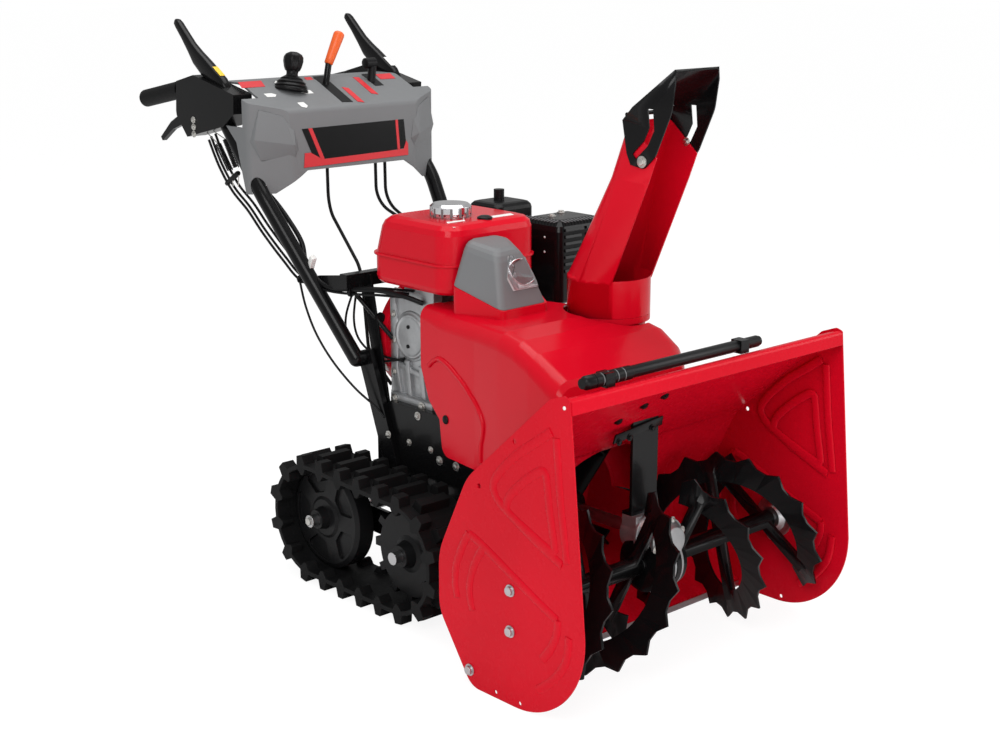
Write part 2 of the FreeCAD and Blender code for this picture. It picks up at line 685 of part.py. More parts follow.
def make_augers():
    shaft_long = f"2 * {PLATE_IN} - 2 * fit_gap"
    node("auger_shaft", rod("AugerShaft", "X", (f"fit_gap - {PLATE_IN}", AUGER_Y, "auger_height"),
                            "auger_shaft", shaft_long))
    for side, word in ((-1, "right"), (1, "left")):
        start = f"0 - auger_inset - {AUGER_HALF}" if side < 0 else "auger_inset"
        sleeve = rod(f"Sleeve{word}", "X", (start, AUGER_Y, "auger_height"), "auger_sleeve", AUGER_HALF)
        bore = rod(f"SleeveBore{word}", "X", (start + " - 1", AUGER_Y, "auger_height"), "auger_shaft",
                   f"{AUGER_HALF} + 2")
        metal = []
        for phase in (100, 280):
            metal.append(auger_ribbon(side, phase))
            metal += auger_spokes(side, phase)
        ribbons = shaped(f"Ribbons{word}", metal[0].multiFuse(metal[1:]))
        node(f"auger_{word}", cut(f"Auger{word}", fuse(f"AugerBody{word}", [sleeve, ribbons]), bore))


def make_impeller():
    face = "0 - drum_rear - drum_wall - 10 - impeller_deep"
    back = rod("ImpellerBack", "Y", ("0", f"{face} + impeller_deep - blade_thick", "impeller_height"),
               "impeller_tip * 0.72", "blade_thick")
    hub = rod("ImpellerHub", "Y", ("0", face, "impeller_height"), "impeller_hub", "impeller_deep")
    blades = []
    for number in range(4):
        blade = block(f"Blade{number}", ("0", face, "0 - blade_thick / 2"),
                      ("impeller_tip", "impeller_deep", "blade_thick"))
        turn = doc.addObject("Part::Fuse", f"BladeTurn{number}")
        lip = block(f"BladeLip{number}", ("impeller_tip - 22", face, "0 - blade_thick / 2"),
                    ("blade_thick", "impeller_deep", "24"))
        turn.Base = blade
        turn.Tool = lip
        turn.Placement = Placement(Vector(0, 0, value("impeller_height")),
                                   Rotation(Vector(0, 1, 0), 45 + 90 * number))
        turn.setExpression("Placement.Base.z", bind("impeller_height"))
        blades.append(turn)
    bore = rod("ImpellerBore", "Y", ("0", f"{face} - 1", "impeller_height"), "impeller_shaft", "impeller_deep + 2")
    node("impeller", cut("Impeller", fuse("ImpellerBody", [hub, back] + blades), bore))
    start = f"{AUGER_Y} - 30"
    node("impeller_shaft", rod("ImpellerShaft", "Y", ("0", start, "impeller_height"), "impeller_shaft",
                               f"0 - drum_rear + 34 - ({start})"))


def make_gearbox(region):
    nose = f"{AUGER_Y} - worm_case_long / 2"
    wheel_case = turned("WheelCase", "X", (AUGER_Y, "auger_height"), [
        ("0 - gear_case_half", "0"), ("0 - gear_case_half", "gear_case - 14"), ("8 - gear_case_half", "gear_case"),
        ("gear_case_half - 8", "gear_case"), ("gear_case_half", "gear_case - 14"), ("gear_case_half", "0")])
    worm_case = turned("WormCase", "Y", ("0", "impeller_height"), [
        (nose, "0"), (nose, "worm_case - 10"), (f"{nose} + 8", "worm_case - 6"), (f"{nose} + 16", "worm_case"),
        (f"{nose} + worm_case_long", "worm_case"), (f"{nose} + worm_case_long", "0")])
    pad = block("GearboxPad", ("0 - stay_wide / 2", f"{AUGER_Y} + 14", "impeller_height"),
                ("stay_wide", "36", "worm_case"))
    body = fuse("GearboxBody", [wheel_case, worm_case, pad])
    across = rod("GearboxBoreX", "X", ("0 - 60", AUGER_Y, "auger_height"), "auger_shaft + running_gap", "120")
    along = rod("GearboxBoreY", "Y", ("0", f"{AUGER_Y} - 30 - fit_gap", "impeller_height"),
                "impeller_shaft + running_gap", "200")
    node("gearbox", cut("Gearbox", body, fuse("GearboxBores", [across, along])))
    foot = "impeller_height + worm_case"
    bar = block("StayBar", ("0 - stay_wide / 2", f"{AUGER_Y} + 26", foot), ("stay_wide", "stay_thick", "400"))
    ledge = block("StayFoot", ("0 - stay_wide / 2", f"{AUGER_Y} + 26", foot), ("stay_wide", "24", "stay_thick"))
    inside = shaped("ShellInside", shell_region(0))
    node("gearbox_stay", common("GearboxStay", [fuse("StayBody", [bar, ledge]), inside]))


def bolt_heads(name, spots, radius):
    """Heads of bolts on the outer face of the right side plate."""
    outside = f"0 - {SIDE} - bolt_high"
    washer_at = f"0 - {SIDE} - washer_thick"
    heads = []
    for number, (along, up) in enumerate(spots):
        washer = rod(f"{name}Washer{number}", "X", (washer_at, along, up), f"{radius} + washer_rim",
                     "washer_thick")
        head = rod(f"{name}Head{number}", "X", (outside, along, up), radius, "bolt_high")
        both = fuse(f"{name}{number}", [washer, head])
        doc.recompute()
        heads.append(both.Shape)
    return heads


def make_bearings():
    """Flanged bearings inside both side plates, and the shaft's bores through them."""
    flange = turned("BearingFlange", "X", (AUGER_Y, "auger_height"), [
        (f"0 - {PLATE_IN}", "auger_shaft + running_gap"), (f"0 - {PLATE_IN}", "bearing_radius"),
        (f"0 - {PLATE_IN} + 4", "bearing_radius"), (f"0 - {PLATE_IN} + 4", "bearing_radius * 0.7"),
        (f"0 - {PLATE_IN} + bearing_deep", "bearing_radius * 0.55"),
        (f"0 - {PLATE_IN} + bearing_deep", "auger_shaft + running_gap")])
    spots = [(AUGER_Y, f"auger_height + {sign} bearing_bolts") for sign in ("", "0 -")]
    heads = bolt_heads("BearingBolt", spots, "bolt_radius")
    pair("auger_bearing", shaped("BearingSet", Part.makeCompound([flange.Shape] + heads)))


# ---------------------------------------------------------------- chute
def channel_edges(stops, middles):
    """Edges from stop to stop: an arc where a middle point is given and a straight run where it is not."""
    edges = []
    for start, middle, end in zip(stops, middles, stops[1:]):
        edges.append((Part.Arc(start, middle, end) if middle else Part.LineSegment(start, end)).toShape())
    return edges


def channel_wire(outer, inner):
    """Closed section of a bent sheet from the stops and middles of its outer and its inner face."""
    (far, far_middles), (near, near_middles) = outer, inner
    turn = channel_edges(near[::-1], near_middles[::-1])
    return Part.Wire(channel_edges(far, far_middles) + [Part.LineSegment(far[-1], near[-1]).toShape()] + turn
                     + [Part.LineSegment(near[0], far[0]).toShape()])


def collar_path(radius, half, height):
    """The collar's circle, open towards the front over twice half."""
    centre = Vector(value("chute_across"), value(CHUTE_Y), height)
    gap = math.degrees(math.acos(half / radius))
    turns = [180 + gap, 180, 115, 65, 0, -gap]

    def spot(degrees):
        return centre + Vector(math.cos(math.radians(degrees)), math.sin(math.radians(degrees)), 0) * radius

    return [spot(a) for a in turns], [spot((a + b) / 2) for a, b in zip(turns, turns[1:])]


def mouth_path(inset, height):
    """The channel's U section with rounded rear corners, at a height."""
    top = Vector(value("chute_across"), value(HINGE_Y) + 8, value("hinge_height"))
    foot_rear = value(f"{CHUTE_Y} + chute_collar - 40")
    foot = value("chute_foot + collar_high")
    rear = top.y + (foot_rear - top.y) * (top.z - height) / (top.z - foot)
    half, corner = value("chute_half") - inset, value("chute_round") - inset
    front = rear - value("chute_deep")
    slant = corner * (1 - math.sqrt(0.5))
    rear -= inset
    left = [(-half, front), (-half, rear - corner), (corner - half, rear)]
    right = [(-x, y) for x, y in left[::-1]]
    stops = [Vector(top.x + x, y, height) for x, y in left + right]
    bends = [Vector(top.x + x, rear - slant, height) for x in (slant - half, half - slant)]
    return stops, [None, bends[0], None, bends[1], None]


def make_chute():
    wall = value("chute_wall")
    collar = turned("Collar", "Z", ("chute_across", CHUTE_Y), [
        ("chute_foot", "chute_collar - chute_wall"), ("chute_foot", "chute_collar"),
        ("chute_foot + collar_high", "chute_collar"), ("chute_foot + collar_high", "chute_collar - chute_wall")])
    foot = value("chute_foot + collar_high") - 6
    wires = [channel_wire(collar_path(value("chute_collar") + 1, value("chute_half"), foot),
                          collar_path(value("chute_collar") + 1 - wall, value("chute_half") - wall, foot))]
    for height in (value("chute_neck"), value("hinge_height") - 14):
        wires.append(channel_wire(mouth_path(0, height), mouth_path(wall, height)))
    channel = shaped("Channel", Part.makeLoft(wires, True, True))
    top = prism("ChuteTop", "YZ_Plane", "chute_across - 100", "200", [
        (f"{HINGE_Y} - 5", "hinge_height + 60"), (f"{HINGE_Y} - 5", "hinge_height - 14"),
        (f"{HINGE_Y} - 89", "hinge_height - 86"), (f"{HINGE_Y} - 209", "hinge_height + 60")])
    node("chute", cut("Chute", fuse("ChuteBody", [collar, channel]), top))


def make_deflector():
    half = "(chute_half + deflector_gap)"
    cheek_corners = [
        (f"{HINGE_Y} + 8", "hinge_height - 10"), (f"{HINGE_Y} - 4", "hinge_height - 69"),
        (f"{HINGE_Y} - 14", "hinge_height - 89"), (f"{HINGE_Y} - 47", "hinge_height - 94"),
        (f"{HINGE_Y} - 73", "hinge_height - 70"), (f"{HINGE_Y} - 109", "hinge_height + 10"),
        (f"{HINGE_Y} - 117", "hinge_height + 64"), (f"{HINGE_Y} - 115", "hinge_height + 86"),
        (f"{HINGE_Y} - 16", "hinge_height + 15")]
    rounds = [((3,), "12"), ((4,), "40"), ((5,), "60")]
    pieces = []
    for word, start in (("Right", f"chute_across - {half} - deflector_thick"), ("Left", f"chute_across + {half}")):
        pieces.append(prism(f"Cheek{word}", "YZ_Plane", start, "deflector_thick", cheek_corners, rounds))
    pieces.append(prism("DeflectorRoof", "YZ_Plane", f"chute_across - {half}", f"2 * {half}", [
        (f"{HINGE_Y} - 16", "hinge_height + 15"), (f"{HINGE_Y} - 115", "hinge_height + 86"),
        (f"{HINGE_Y} - 116.5", "hinge_height + 82.5"), (f"{HINGE_Y} - 14", "hinge_height + 11")]))
    pieces.append(rod("HingeRod", "X", (f"chute_across - {half}", HINGE_Y, "hinge_height"), "hinge_radius",
                      f"2 * {half}"))
    slot = prism("CheekSlot", "YZ_Plane", "chute_across - 100", "200", [
        (f"{HINGE_Y} - 66", "hinge_height + 14"), (f"{HINGE_Y} - 70", "hinge_height - 24"),
        (f"{HINGE_Y} - 55", "hinge_height - 52"), (f"{HINGE_Y} - 26", "hinge_height - 78"),
        (f"{HINGE_Y} - 18", "hinge_height - 69"), (f"{HINGE_Y} - 45", "hinge_height - 44"),
        (f"{HINGE_Y} - 57", "hinge_height - 20"), (f"{HINGE_Y} - 53", "hinge_height + 14")])
    node("deflector", cut("Deflector", fuse("DeflectorBody", pieces), slot))


# ---------------------------------------------------------------- undercarriage
def loop_outline():
    """The arcs and straight runs of the track's inner face, in order, and their whole length."""
    drive = Vector(0, value(DRIVE[0]), value(DRIVE[1]))
    idler = Vector(0, value(IDLER[0]), value(IDLER[1]))
    small, large = value("sprocket_wrap"), value("idler_wrap")
    reach = (idler - drive).Length
    tilt = math.atan2(idler.z - drive.z, idler.y - drive.y)
    spread = math.acos((small - large) / reach)
    runs = [
        (drive, small, math.pi * 2 + tilt - spread, tilt + spread),
        (idler, large, tilt + spread, tilt - spread),
    ]
    pieces = []
    total = 0
    for centre, radius, start, end in runs:
        sweep = start - end
        pieces.append(("arc", centre, radius, start, sweep))
        total += radius * sweep
        straight = math.sqrt(reach ** 2 - (large - small) ** 2)
        pieces.append(("run", centre, radius, end, straight))
        total += straight
    return pieces, total


def loop_point(pieces, distance):
    """Point on the track's inner face and its outward normal, at a distance along the loop."""
    for kind, centre, radius, angle, amount in pieces:
        length = radius * amount if kind == "arc" else amount
        if distance > length:
            distance -= length
            continue
        if kind == "arc":
            turn = angle - distance / radius
            normal = Vector(0, math.cos(turn), math.sin(turn))
            return centre + normal * radius, normal
        normal = Vector(0, math.cos(angle), math.sin(angle))
        forward = Vector(0, normal.z, -normal.y)
        return centre + normal * radius + forward * distance, normal
    raise ValueError("distance is beyond the loop")


def track_row(pieces, total, phase, low, high, cleat):
    """One row of lugs with its share of the belt, and with cleats inside where cleat is not zero."""
    count = int(value("lug_count"))
    pitch = total / count
    share = value("lug_share")
    belt, lug = value("belt_thick"), value("lug_high")
    edge = Vector(low, 0, 0)
    outside = []
    inside = []
    for i in range(count):
        foot = (i + phase) * pitch
        for along, height in ((0, belt), (0.2 * share, belt + lug), (0.8 * share, belt + lug), (share, belt),
                              (0.5 + share / 2, belt)):
            point, normal = loop_point(pieces, (foot + along * pitch) % total)
            outside.append(point + normal * height + edge)
        rises = ((0, 0), (0.33, 0), (0.67, 0))
        if cleat:
            rises = ((0, 0), (0.15, cleat), (0.27, cleat), (0.42, 0), (0.7, 0))
        for along, height in rises:
            point, normal = loop_point(pieces, (foot + along * pitch) % total)
            inside.append(point - normal * height + edge)
    outer = Part.Face(Part.makePolygon(outside + [outside[0]]))
    inner = Part.Face(Part.makePolygon(inside + [inside[0]]))
    return outer.cut(inner).extrude(Vector(high - low, 0, 0))


def make_tracks():
    pieces, total = loop_outline()
    outside, inside = -value("track_outside"), -value(TRACK_IN)
    edge, cleat = value("lug_edge"), value("cleat_high")
    rows = [track_row(pieces, total, 0, outside, outside + edge, cleat),
            track_row(pieces, total, 0.5, outside + edge, inside - edge, 0),
            track_row(pieces, total, 0, inside - edge, inside, cleat)]
    pair("track", shaped("Track", rows[0].multiFuse(rows[1:])))


def make_wheels():
    low = f"(0 - {TRACK_MID} - wheel_wide / 2)"
    high = f"(wheel_wide / 2 - {TRACK_MID})"
    boss = f"(0 - hub_end + 18)"
    rim = "idler_wrap - 3 * fit_gap"
    wheel = turned("IdlerWheel", "X", IDLER, [
        (boss, "axle_radius"), (boss, "hub_radius - 10"), (f"{low} - 4", "hub_radius - 6"),
        (f"{low} - 4", "hub_radius + 8"), (low, "hub_radius + 14"), (low, f"{rim} - 10"), (f"{low} + 5", rim), (high, rim), (high, f"{rim} - 8"),
        (f"{low} + wheel_web", f"{rim} - 12"), (f"{low} + wheel_web", "hub_radius"), (high, "hub_radius"),
        (high, "axle_radius")])
    pockets = []
    centre = Vector(0, value(IDLER[0]), value(IDLER[1]))
    for number in range(int(value("rib_count"))):
        pocket = prism(f"IdlerPocket{number}", "YZ_Plane", f"{low} - 1", "pocket_deep + 1", [
            ("hub_radius + 22", "0 - 16"), (f"{rim} - 20", "0 - 42"), (f"{rim} - 14", "0"), (f"{rim} - 20", "42"),
            ("hub_radius + 22", "16")], [((0, 4), "6"), ((1, 3), "9")])
        pocket.Placement = Placement(centre, Rotation(Vector(1, 0, 0), 360 / value("rib_count") * number))
        for axis, text in zip("yz", IDLER):
            pocket.setExpression(f"Placement.Base.{axis}", bind(text))
        pockets.append(pocket)
    pair("idler", cut("IdlerDished", wheel, fuse("IdlerPockets", pockets)))

    pieces = [turned("SprocketDisc", "X", DRIVE, [
        (boss, "axle_radius"), (boss, "hub_radius - 8"), (f"{low} - 4", "hub_radius - 2"), (low, "hub_radius + 8"),
        (low, "sprocket_disc"), (f"{low} + wheel_web", "sprocket_disc"), (f"{low} + wheel_web", "hub_radius"),
        (high, "hub_radius"), (high, "axle_radius")])]
    drive = Vector(0, value(DRIVE[0]), value(DRIVE[1]))
    for number in range(int(value("tooth_count"))):
        tooth = block(f"Tooth{number}", (low, "0 - tooth_wide / 2", "sprocket_disc - 5"),
                      ("wheel_wide", "tooth_wide", "sprocket_wrap - fit_gap * 4 - sprocket_disc + 5"))
        claw = block(f"Claw{number}", (low, "0 - tooth_wide / 2", "sprocket_disc - 26"),
                     ("wheel_wide", "tooth_wide / 3", "26"))
        holder = fuse(f"ToothTurn{number}", [tooth, claw])
        holder.Placement = Placement(drive, Rotation(Vector(1, 0, 0), 360 / value("tooth_count") * number))
        for axis, text in zip("yz", DRIVE):
            holder.setExpression(f"Placement.Base.{axis}", bind(text))
        pieces.append(holder)
    pair("sprocket", fuse("SprocketWheel", pieces))


def make_undercarriage():
    make_tracks()
    make_wheels()
    axles = [rod(word, "X", ("0 - hub_end", centre[0], centre[1]), "axle_radius", "2 * hub_end")
             for word, centre in (("DriveAxle", DRIVE), ("IdlerBar", IDLER))]
    node("drive_axle", axles[0])
    pin = rod("StrutPin", "X", ("0 - 22", STRUT_FOOT[0], STRUT_FOOT[1]), "strut_pin", "44")
    ears = [prism(f"StrutEar{word}", "YZ_Plane", low, "6", [
        ("idler_setback - 12", "idler_height - 4"), ("idler_setback + 12", "idler_height - 4"),
        (f"{STRUT_FOOT[0]} + 11", f"{STRUT_FOOT[1]} + 12"), (f"{STRUT_FOOT[0]} - 11", f"{STRUT_FOOT[1]} + 12")])
        for word, low in (("Right", "0 - 22"), ("Left", "16"))]
    node("idler_axle", fuse("IdlerAxle", [axles[1], pin] + ears))
    beam_x = f"0 - {TRACK_IN} - track_beam_thick - 6"
    half = "track_beam_high / 2"
    beam = prism("TrackBeam", "YZ_Plane", beam_x, "track_beam_thick", [
        (f"{DRIVE[0]} - {half}", f"{DRIVE[1]} - {half}"), (f"{IDLER[0]} + {half}", f"{IDLER[1]} - {half}"),
        (f"{IDLER[0]} + {half}", f"{IDLER[1]} + {half}"), (f"{DRIVE[0]} - {half}", f"{DRIVE[1]} + {half}")],
        [((0, 1, 2, 3), "20")],
        [(DRIVE[0], DRIVE[1], "axle_radius"), (IDLER[0], IDLER[1], "axle_radius")])
    pair("track_beam", beam)


# ---------------------------------------------------------------- frame, transmission and engine
def make_frame():
    """Pressed steel sides and deck between the tracks; the drive axle runs through the sides."""
    deck = block("FrameDeck", ("0 - frame_half", FRAME_FRONT, "frame_top - frame_thick"),
                 ("2 * frame_half", f"frame_rear - 40 - {FRAME_FRONT}", "frame_thick"))
    plates = [deck]
    for word, low in (("Right", "0 - frame_half"), ("Left", "frame_half - frame_thick")):
        plates.append(prism(f"FrameSide{word}", "YZ_Plane", low, "frame_thick", [
            (f"{DRIVE[0]} - 60", "frame_foot"), (f"{DRIVE[0]} + 60", "frame_foot"),
            ("frame_rear", "frame_top - 130"), ("frame_rear", "frame_top - 50"), ("frame_rear - 40", "frame_top"),
            (FRAME_FRONT, "frame_top"), (FRAME_FRONT, "frame_top - 90")],
            [], [(DRIVE[0], DRIVE[1], "axle_radius + running_gap")]))
    plates.append(rod("FrameCrossBar", "X", (f"frame_thick - frame_half", STRUT_TOP[0], STRUT_TOP[1]), "strut_pin",
                      "2 * (frame_half - frame_thick)"))
    spaces = [
        rod("FrameDrumSpace", "Y", ("0", f"{FRONT} + 300", "impeller_height"), "drum_radius + fit_gap",
            f"0 - drum_rear + fit_gap - {FRONT} - 300"),
        rod("FrameChuteSpace", "Z", ("chute_across", CHUTE_Y, "impeller_height"), "base_radius + fit_gap", "300")]
    node("main_frame", cut("MainFrame", fuse("FrameBody", plates), fuse("FrameSpaces", spaces)))


def make_transmission():
    body = block("TransmissionBody", ("frame_thick - frame_half + fit_gap", f"{DRIVE[0]} - 62", "frame_foot - 4"),
                 ("2 * (frame_half - frame_thick - fit_gap)", "150", "frame_top - frame_thick - frame_foot - 110"))
    bore = rod("TransmissionBore", "X", ("0 - frame_half", DRIVE[0], DRIVE[1]), "axle_radius + running_gap",
               "2 * frame_half")
    node("transmission", cut("Transmission", body, bore))


def make_engine():
    base = block("EngineBase", ("0 - block_half - 6", "0 - block_front + 6", "frame_top"),
                 ("2 * block_half + 12", "block_front + block_rear - 12", "14"))
    case = block("Crankcase", ("0 - block_half", "0 - block_front", "frame_top + 8"),
                 ("2 * block_half", "block_front + block_rear", "block_top - frame_top - 8"))
    head = block("CylinderHead", ("block_half - 20", "0 - block_front + 24", "crank_height - 20"),
                 ("124", "block_front + block_rear - 48", "90"))
    crank = rod("CrankEnd", "Y", ("0", "0 - block_front - 60", "crank_height"), "12.5", "60")
    mounts = []
    for number, across in enumerate(("0 - tank_right + 40", "tank_left - 60")):
        mounts.append(block(f"TankMount{number}", (across, "0 - block_front + 30", "block_top - 10"),
                            ("22", "90", "tank_bottom - block_top + 10")))
    node("engine_block", fuse("EngineBlock", [base, case, head, crank] + mounts))

    rear = "block_rear"
    node("recoil_cover", turned("RecoilCover", "Y", ("0", "crank_height"), [
        (rear, "0"), (rear, "recoil_radius"), (f"{rear} + 26", "recoil_radius"),
        (f"{rear} + 37", "recoil_radius - 9"), (f"{rear} + recoil_deep - 6", "recoil_radius - 46"),
        (f"{rear} + recoil_deep", "recoil_radius - 62"), (f"{rear} + recoil_deep", "0")]))

    sides = [-value("tank_right"), value("tank_left"), -value("tank_front"), value("tank_rear")]
    seam_z, edge = value("tank_seam"), value("tank_round")
    corner = value("tank_corner")
    upper = rounded_box("TankUpper", sides + [seam_z, value("tank_top")], corner, 2, edge, value("tank_taper"))
    lower = rounded_box("TankLower", sides + [value("tank_bottom"), seam_z], corner, edge * 0.7, 2)
    low_x, high_x, low_y, high_y = sides
    flange = rounded_box("TankSeam", [low_x - 5, high_x + 5, low_y - 4, high_y + 5, seam_z - 2.5, seam_z + 2.5],
                         corner + 4, 1, 1)
    node("fuel_tank", fuse("FuelTank", [upper, lower, flange]))

    cap_spot = ("0 - tank_right + 90", "0 - tank_front + 95")
    node("fuel_cap", turned("FuelCap", "Z", cap_spot, [
        ("tank_top", "0"), ("tank_top", "cap_radius - 8"), ("tank_top + 7", "cap_radius - 8"),
        ("tank_top + 9", "cap_radius"), ("tank_top + cap_high - 5", "cap_radius"),
        ("tank_top + cap_high", "cap_radius - 6"), ("tank_top + cap_high", "0")]))

    cleaner_low = "cleaner_top - cleaner_high"
    cleaner_x = "tank_left + 8"
    half_deep = value("cleaner_deep") / 2
    body = rounded_box("CleanerBody", [value(cleaner_x), value(f"{cleaner_x} + cleaner_wide"), -half_deep, half_deep,
                                       value(cleaner_low), value("cleaner_top")], 18, 6, 14)
    knob = rod("CleanerKnob", "Z", (f"{cleaner_x} + cleaner_wide / 2", "6", "cleaner_top"), "11", "22")
    neck = block("CleanerNeck", ("block_half + 20", "0 - cleaner_deep / 2 + 10", "crank_height + 70 + fit_gap"),
                 ("60", "cleaner_deep - 40", f"{cleaner_low} - crank_height - 70 - fit_gap"))
    node("air_cleaner", fuse("AirCleaner", [body, knob, neck]))

    muffler_x = "tank_left + 58"
    muffler_y = "0 - cleaner_deep / 2 - 10 - muffler_deep"
    shell = rounded_box("MufflerBody", [value(muffler_x), value(f"{muffler_x} + muffler_wide"), value(muffler_y),
                                        value(f"{muffler_y} + muffler_deep"), value("muffler_top - muffler_high"),
                                        value("muffler_top")], 16, 8, 22)
    pipe = block("MufflerPipe", ("block_half + 104 + fit_gap", "0 - block_front + 30", "crank_height + 40"),
                 ("30", "50", "40"))
    node("muffler", fuse("Muffler", [shell, pipe]))


# ---------------------------------------------------------------- covers and light
def cover_level(y, right, left, top, foot, corner, inset):
    """Arch of the front cover across the machine at y, moved in by inset."""
    right, left, top = right + inset, left - inset, top - inset
    corner = corner - inset
    slant = corner * (1 - math.sqrt(0.5))
    stops = [Vector(right, y, foot), Vector(right, y, top - corner), Vector(right + corner, y, top),
             Vector(left - corner, y, top), Vector(left, y, top - corner), Vector(left, y, foot)]
    bends = [None, Vector(right + slant, y, top - slant), None, Vector(left - slant, y, top - slant), None]
    return Part.Wire(channel_edges(stops, bends) + [Part.LineSegment(stops[-1], stops[0]).toShape()])


def cover_stations():
    """Places along the front cover: y, right side, left side, top and rounding."""
    chute, high, lip = value(CHUTE_Y), value("cover_high"), value("plate_top")
    side, across = value("tank_right"), value("chute_across")
    rear, edge = value("0 - block_front - fit_gap") + 8, value("cover_round")
    return [
        (rear, -side - 13, across - 45, high + 2, edge * 0.7), (rear - 70, -side - 22, across - 28, high, edge),
        (chute + 70, -side - 38, across + 3, high, edge), (chute - 10, -side - 53, across + 26, high - 1, edge),
        (chute - 60, -side - 61, across + 42, lip + 19, edge), (chute - 105, -side - 68, across + 52, lip + 4, edge),
        (chute - 150, -side - 73, across + 44, lip - 17, edge * 1.05),
        (chute - 180, -side - 76, across + 20, lip - 30, edge * 1.1),
        (chute - 190, -side - 76, across + 8, lip - 40, edge * 1.1), (chute - 194, -side - 76, across, lip - 56, edge)]


def cowl_level(share, inset):
    """Outline of the cowl at a share of its height; 0 is its base, and inset moves it in."""
    rear, front = value(COWL_REAR), -value("cowl_front") - 3
    low_rear, low_front = value("cowl_base_rear"), value("cowl_base_front")
    high_rear, side = value("cowl_high"), value("tank_right")
    base = [(-side, rear), (33, rear), (-12, front + 2), (-side + 25, front)]
    top = [(-side + 33, rear), (-8, rear), (-42, rear - 76), (-side + 46, rear - 82)]
    low_slope = (low_rear - low_front) / (rear - front)
    high_slope = 14 / 82
    middle = Vector(-side + 80, (rear + front) / 2, 0)
    corners = []
    for (x0, y0), (x1, y1) in zip(base, top):
        x, y = x0 + (x1 - x0) * share, y0 + (y1 - y0) * share
        pull = Vector(middle.x - x, middle.y - y, 0)
        x, y = x + inset * math.copysign(1, pull.x), y if y == rear else y + inset
        low = low_rear + (y - rear) * low_slope
        high = high_rear + (y - rear) * high_slope
        corners.append(Vector(x, y, low + (high - low) * share))
    return corners


def make_cover(region):
    """Red cover over the belts, open below and towards the engine, with a neck under the cowl."""
    foot = value("cover_skirt") - 60
    wall = value("cover_thick")
    stations = cover_stations()
    outer = tower("CoverArches", [cover_level(y, right, left, top, foot, corner, 0)
                                  for y, right, left, top, corner in stations])
    inner_stations = [(stations[0][0] + 30,) + stations[0][1:]] + stations[:-2] + [
        (stations[-1][0] + wall, stations[-1][1], stations[-1][2], stations[-1][3], stations[-1][4])]
    inner = tower("CoverInside", [cover_level(y, right, left, top, foot - 20, corner, wall)
                                  for y, right, left, top, corner in inner_stations])
    rise = Vector(0, 0, value("fit_gap"))
    neck_top = [corner - rise for corner in cowl_level(0, -3)]
    neck_foot = [Vector(corner.x, corner.y, value("cover_high") - 14) for corner in neck_top]
    neck = tower("CoverNeck", [level(neck_foot, 16), level(neck_top, 16)])
    side_corners = [
        ("8 - block_front - fit_gap", "cover_high + 90"), ("8 - block_front - fit_gap", "plate_top - 90"),
        ("0 - block_front - 20", "cover_skirt + 100"), ("0 - block_front - 56", "cover_skirt + 70"),
        ("0 - block_front - 66", "cover_skirt"), (f"{CHUTE_Y} - 60", "cover_skirt"),
        (f"{CHUTE_Y} - 166", "plate_top - 119"), (f"{CHUTE_Y} - 200", "plate_top - 80"),
        (f"{CHUTE_Y} - 200", "cover_high + 90")]
    skirt = prism("CoverSide", "YZ_Plane", "0 - 300", "150", side_corners, [((2,), "30"), ((4,), "24")])
    rest_corners = side_corners[:2] + [("8 - block_front - fit_gap", "frame_top + fit_gap"),
        (f"{FRAME_FRONT} + 60", "frame_top + fit_gap"), (f"{CHUTE_Y} - 60", "frame_top - 50")] + side_corners[6:]
    rest = prism("CoverRest", "YZ_Plane", "0 - 150", "450", rest_corners)
    shell = common("CoverShell", [cut("CoverSheet", fuse("CoverRaised", [outer, neck]), inner),
                                  fuse("CoverReach", [skirt, rest])])
    collar_space = rod("CoverCollarSpace", "Z", ("chute_across", CHUTE_Y, "200"), "chute_collar + cover_gap", "500")
    engine_space = block("CoverEngineSpace", ("0 - block_half - 8", "0 - block_front - fit_gap", "frame_top - 20"),
                         ("400", "60", "tank_bottom - frame_top"))
    tools = fuse("CoverTools", [region, collar_space, engine_space])
    node("front_cover", cut("FrontCover", shell, tools))


def make_cowl():
    """Grey cowl in front of the fuel tank with the lamp behind a clear lens."""
    edge = value("cowl_round")
    steps = ((0, 0), (0.8, 0), (0.9, edge * 0.13), (0.96, edge * 0.4), (1, edge))
    levels = [level(cowl_level(share, inset), edge) for share, inset in steps]
    cowl = tower("CowlBody", levels)
    rear, side, top = value(COWL_REAR), value("tank_right"), value("cowl_high")
    outline = [(-side + 75, top - 23), (-side + 132, top - 30), (-side + 143, top - 77), (-side + 130, top - 95),
               (-side + 62, top - 90), (-side + 54, top - 64)]
    points = [Vector(x, rear - 134, z) for x, z in outline]
    glass = Part.Face(Part.makePolygon(points + points[:1])).extrude(Vector(0, 100, 0))
    lens_front = [Vector(-side, rear - 92, top - 8), Vector(-side, rear - 112, top - 110),
                  Vector(-side, rear - 60, top - 110), Vector(-side, rear - 60, top - 8)]
    keep = Part.Face(Part.makePolygon(lens_front + lens_front[:1])).extrude(Vector(200, 0, 0))
    node("headlight_cowl", cowl)
    node("headlight_lens", cut("HeadlightLens", shaped("LensBody", glass.common(keep)), cowl))


# ---------------------------------------------------------------- handles and console
def handle_points():
    """Axis of the right handle tube, from its flattened leg up to the grip's end."""
    foot = -value("handle_foot_half")
    top = -value("handle_half")
    rise = (value("handle_crown") - value("grip_height")) / value("crown_setback")
    leg_top = Vector(foot - value("knee_out"), value("knee_rear"), value("knee_high"))
    flare = Vector(top, value("flare_rear"), value("flare_high"))
    neck = Vector(top, value(f"{CROWN_Y} - neck_setback"), value("neck_high"))
    crown = Vector(top, value(CROWN_Y), value("handle_crown"))
    end_y = value(f"{REAR} - grip_long") + 60
    end = Vector(top, end_y, crown.z - rise * (end_y - crown.y))
    return [leg_top, flare, neck, crown, end]


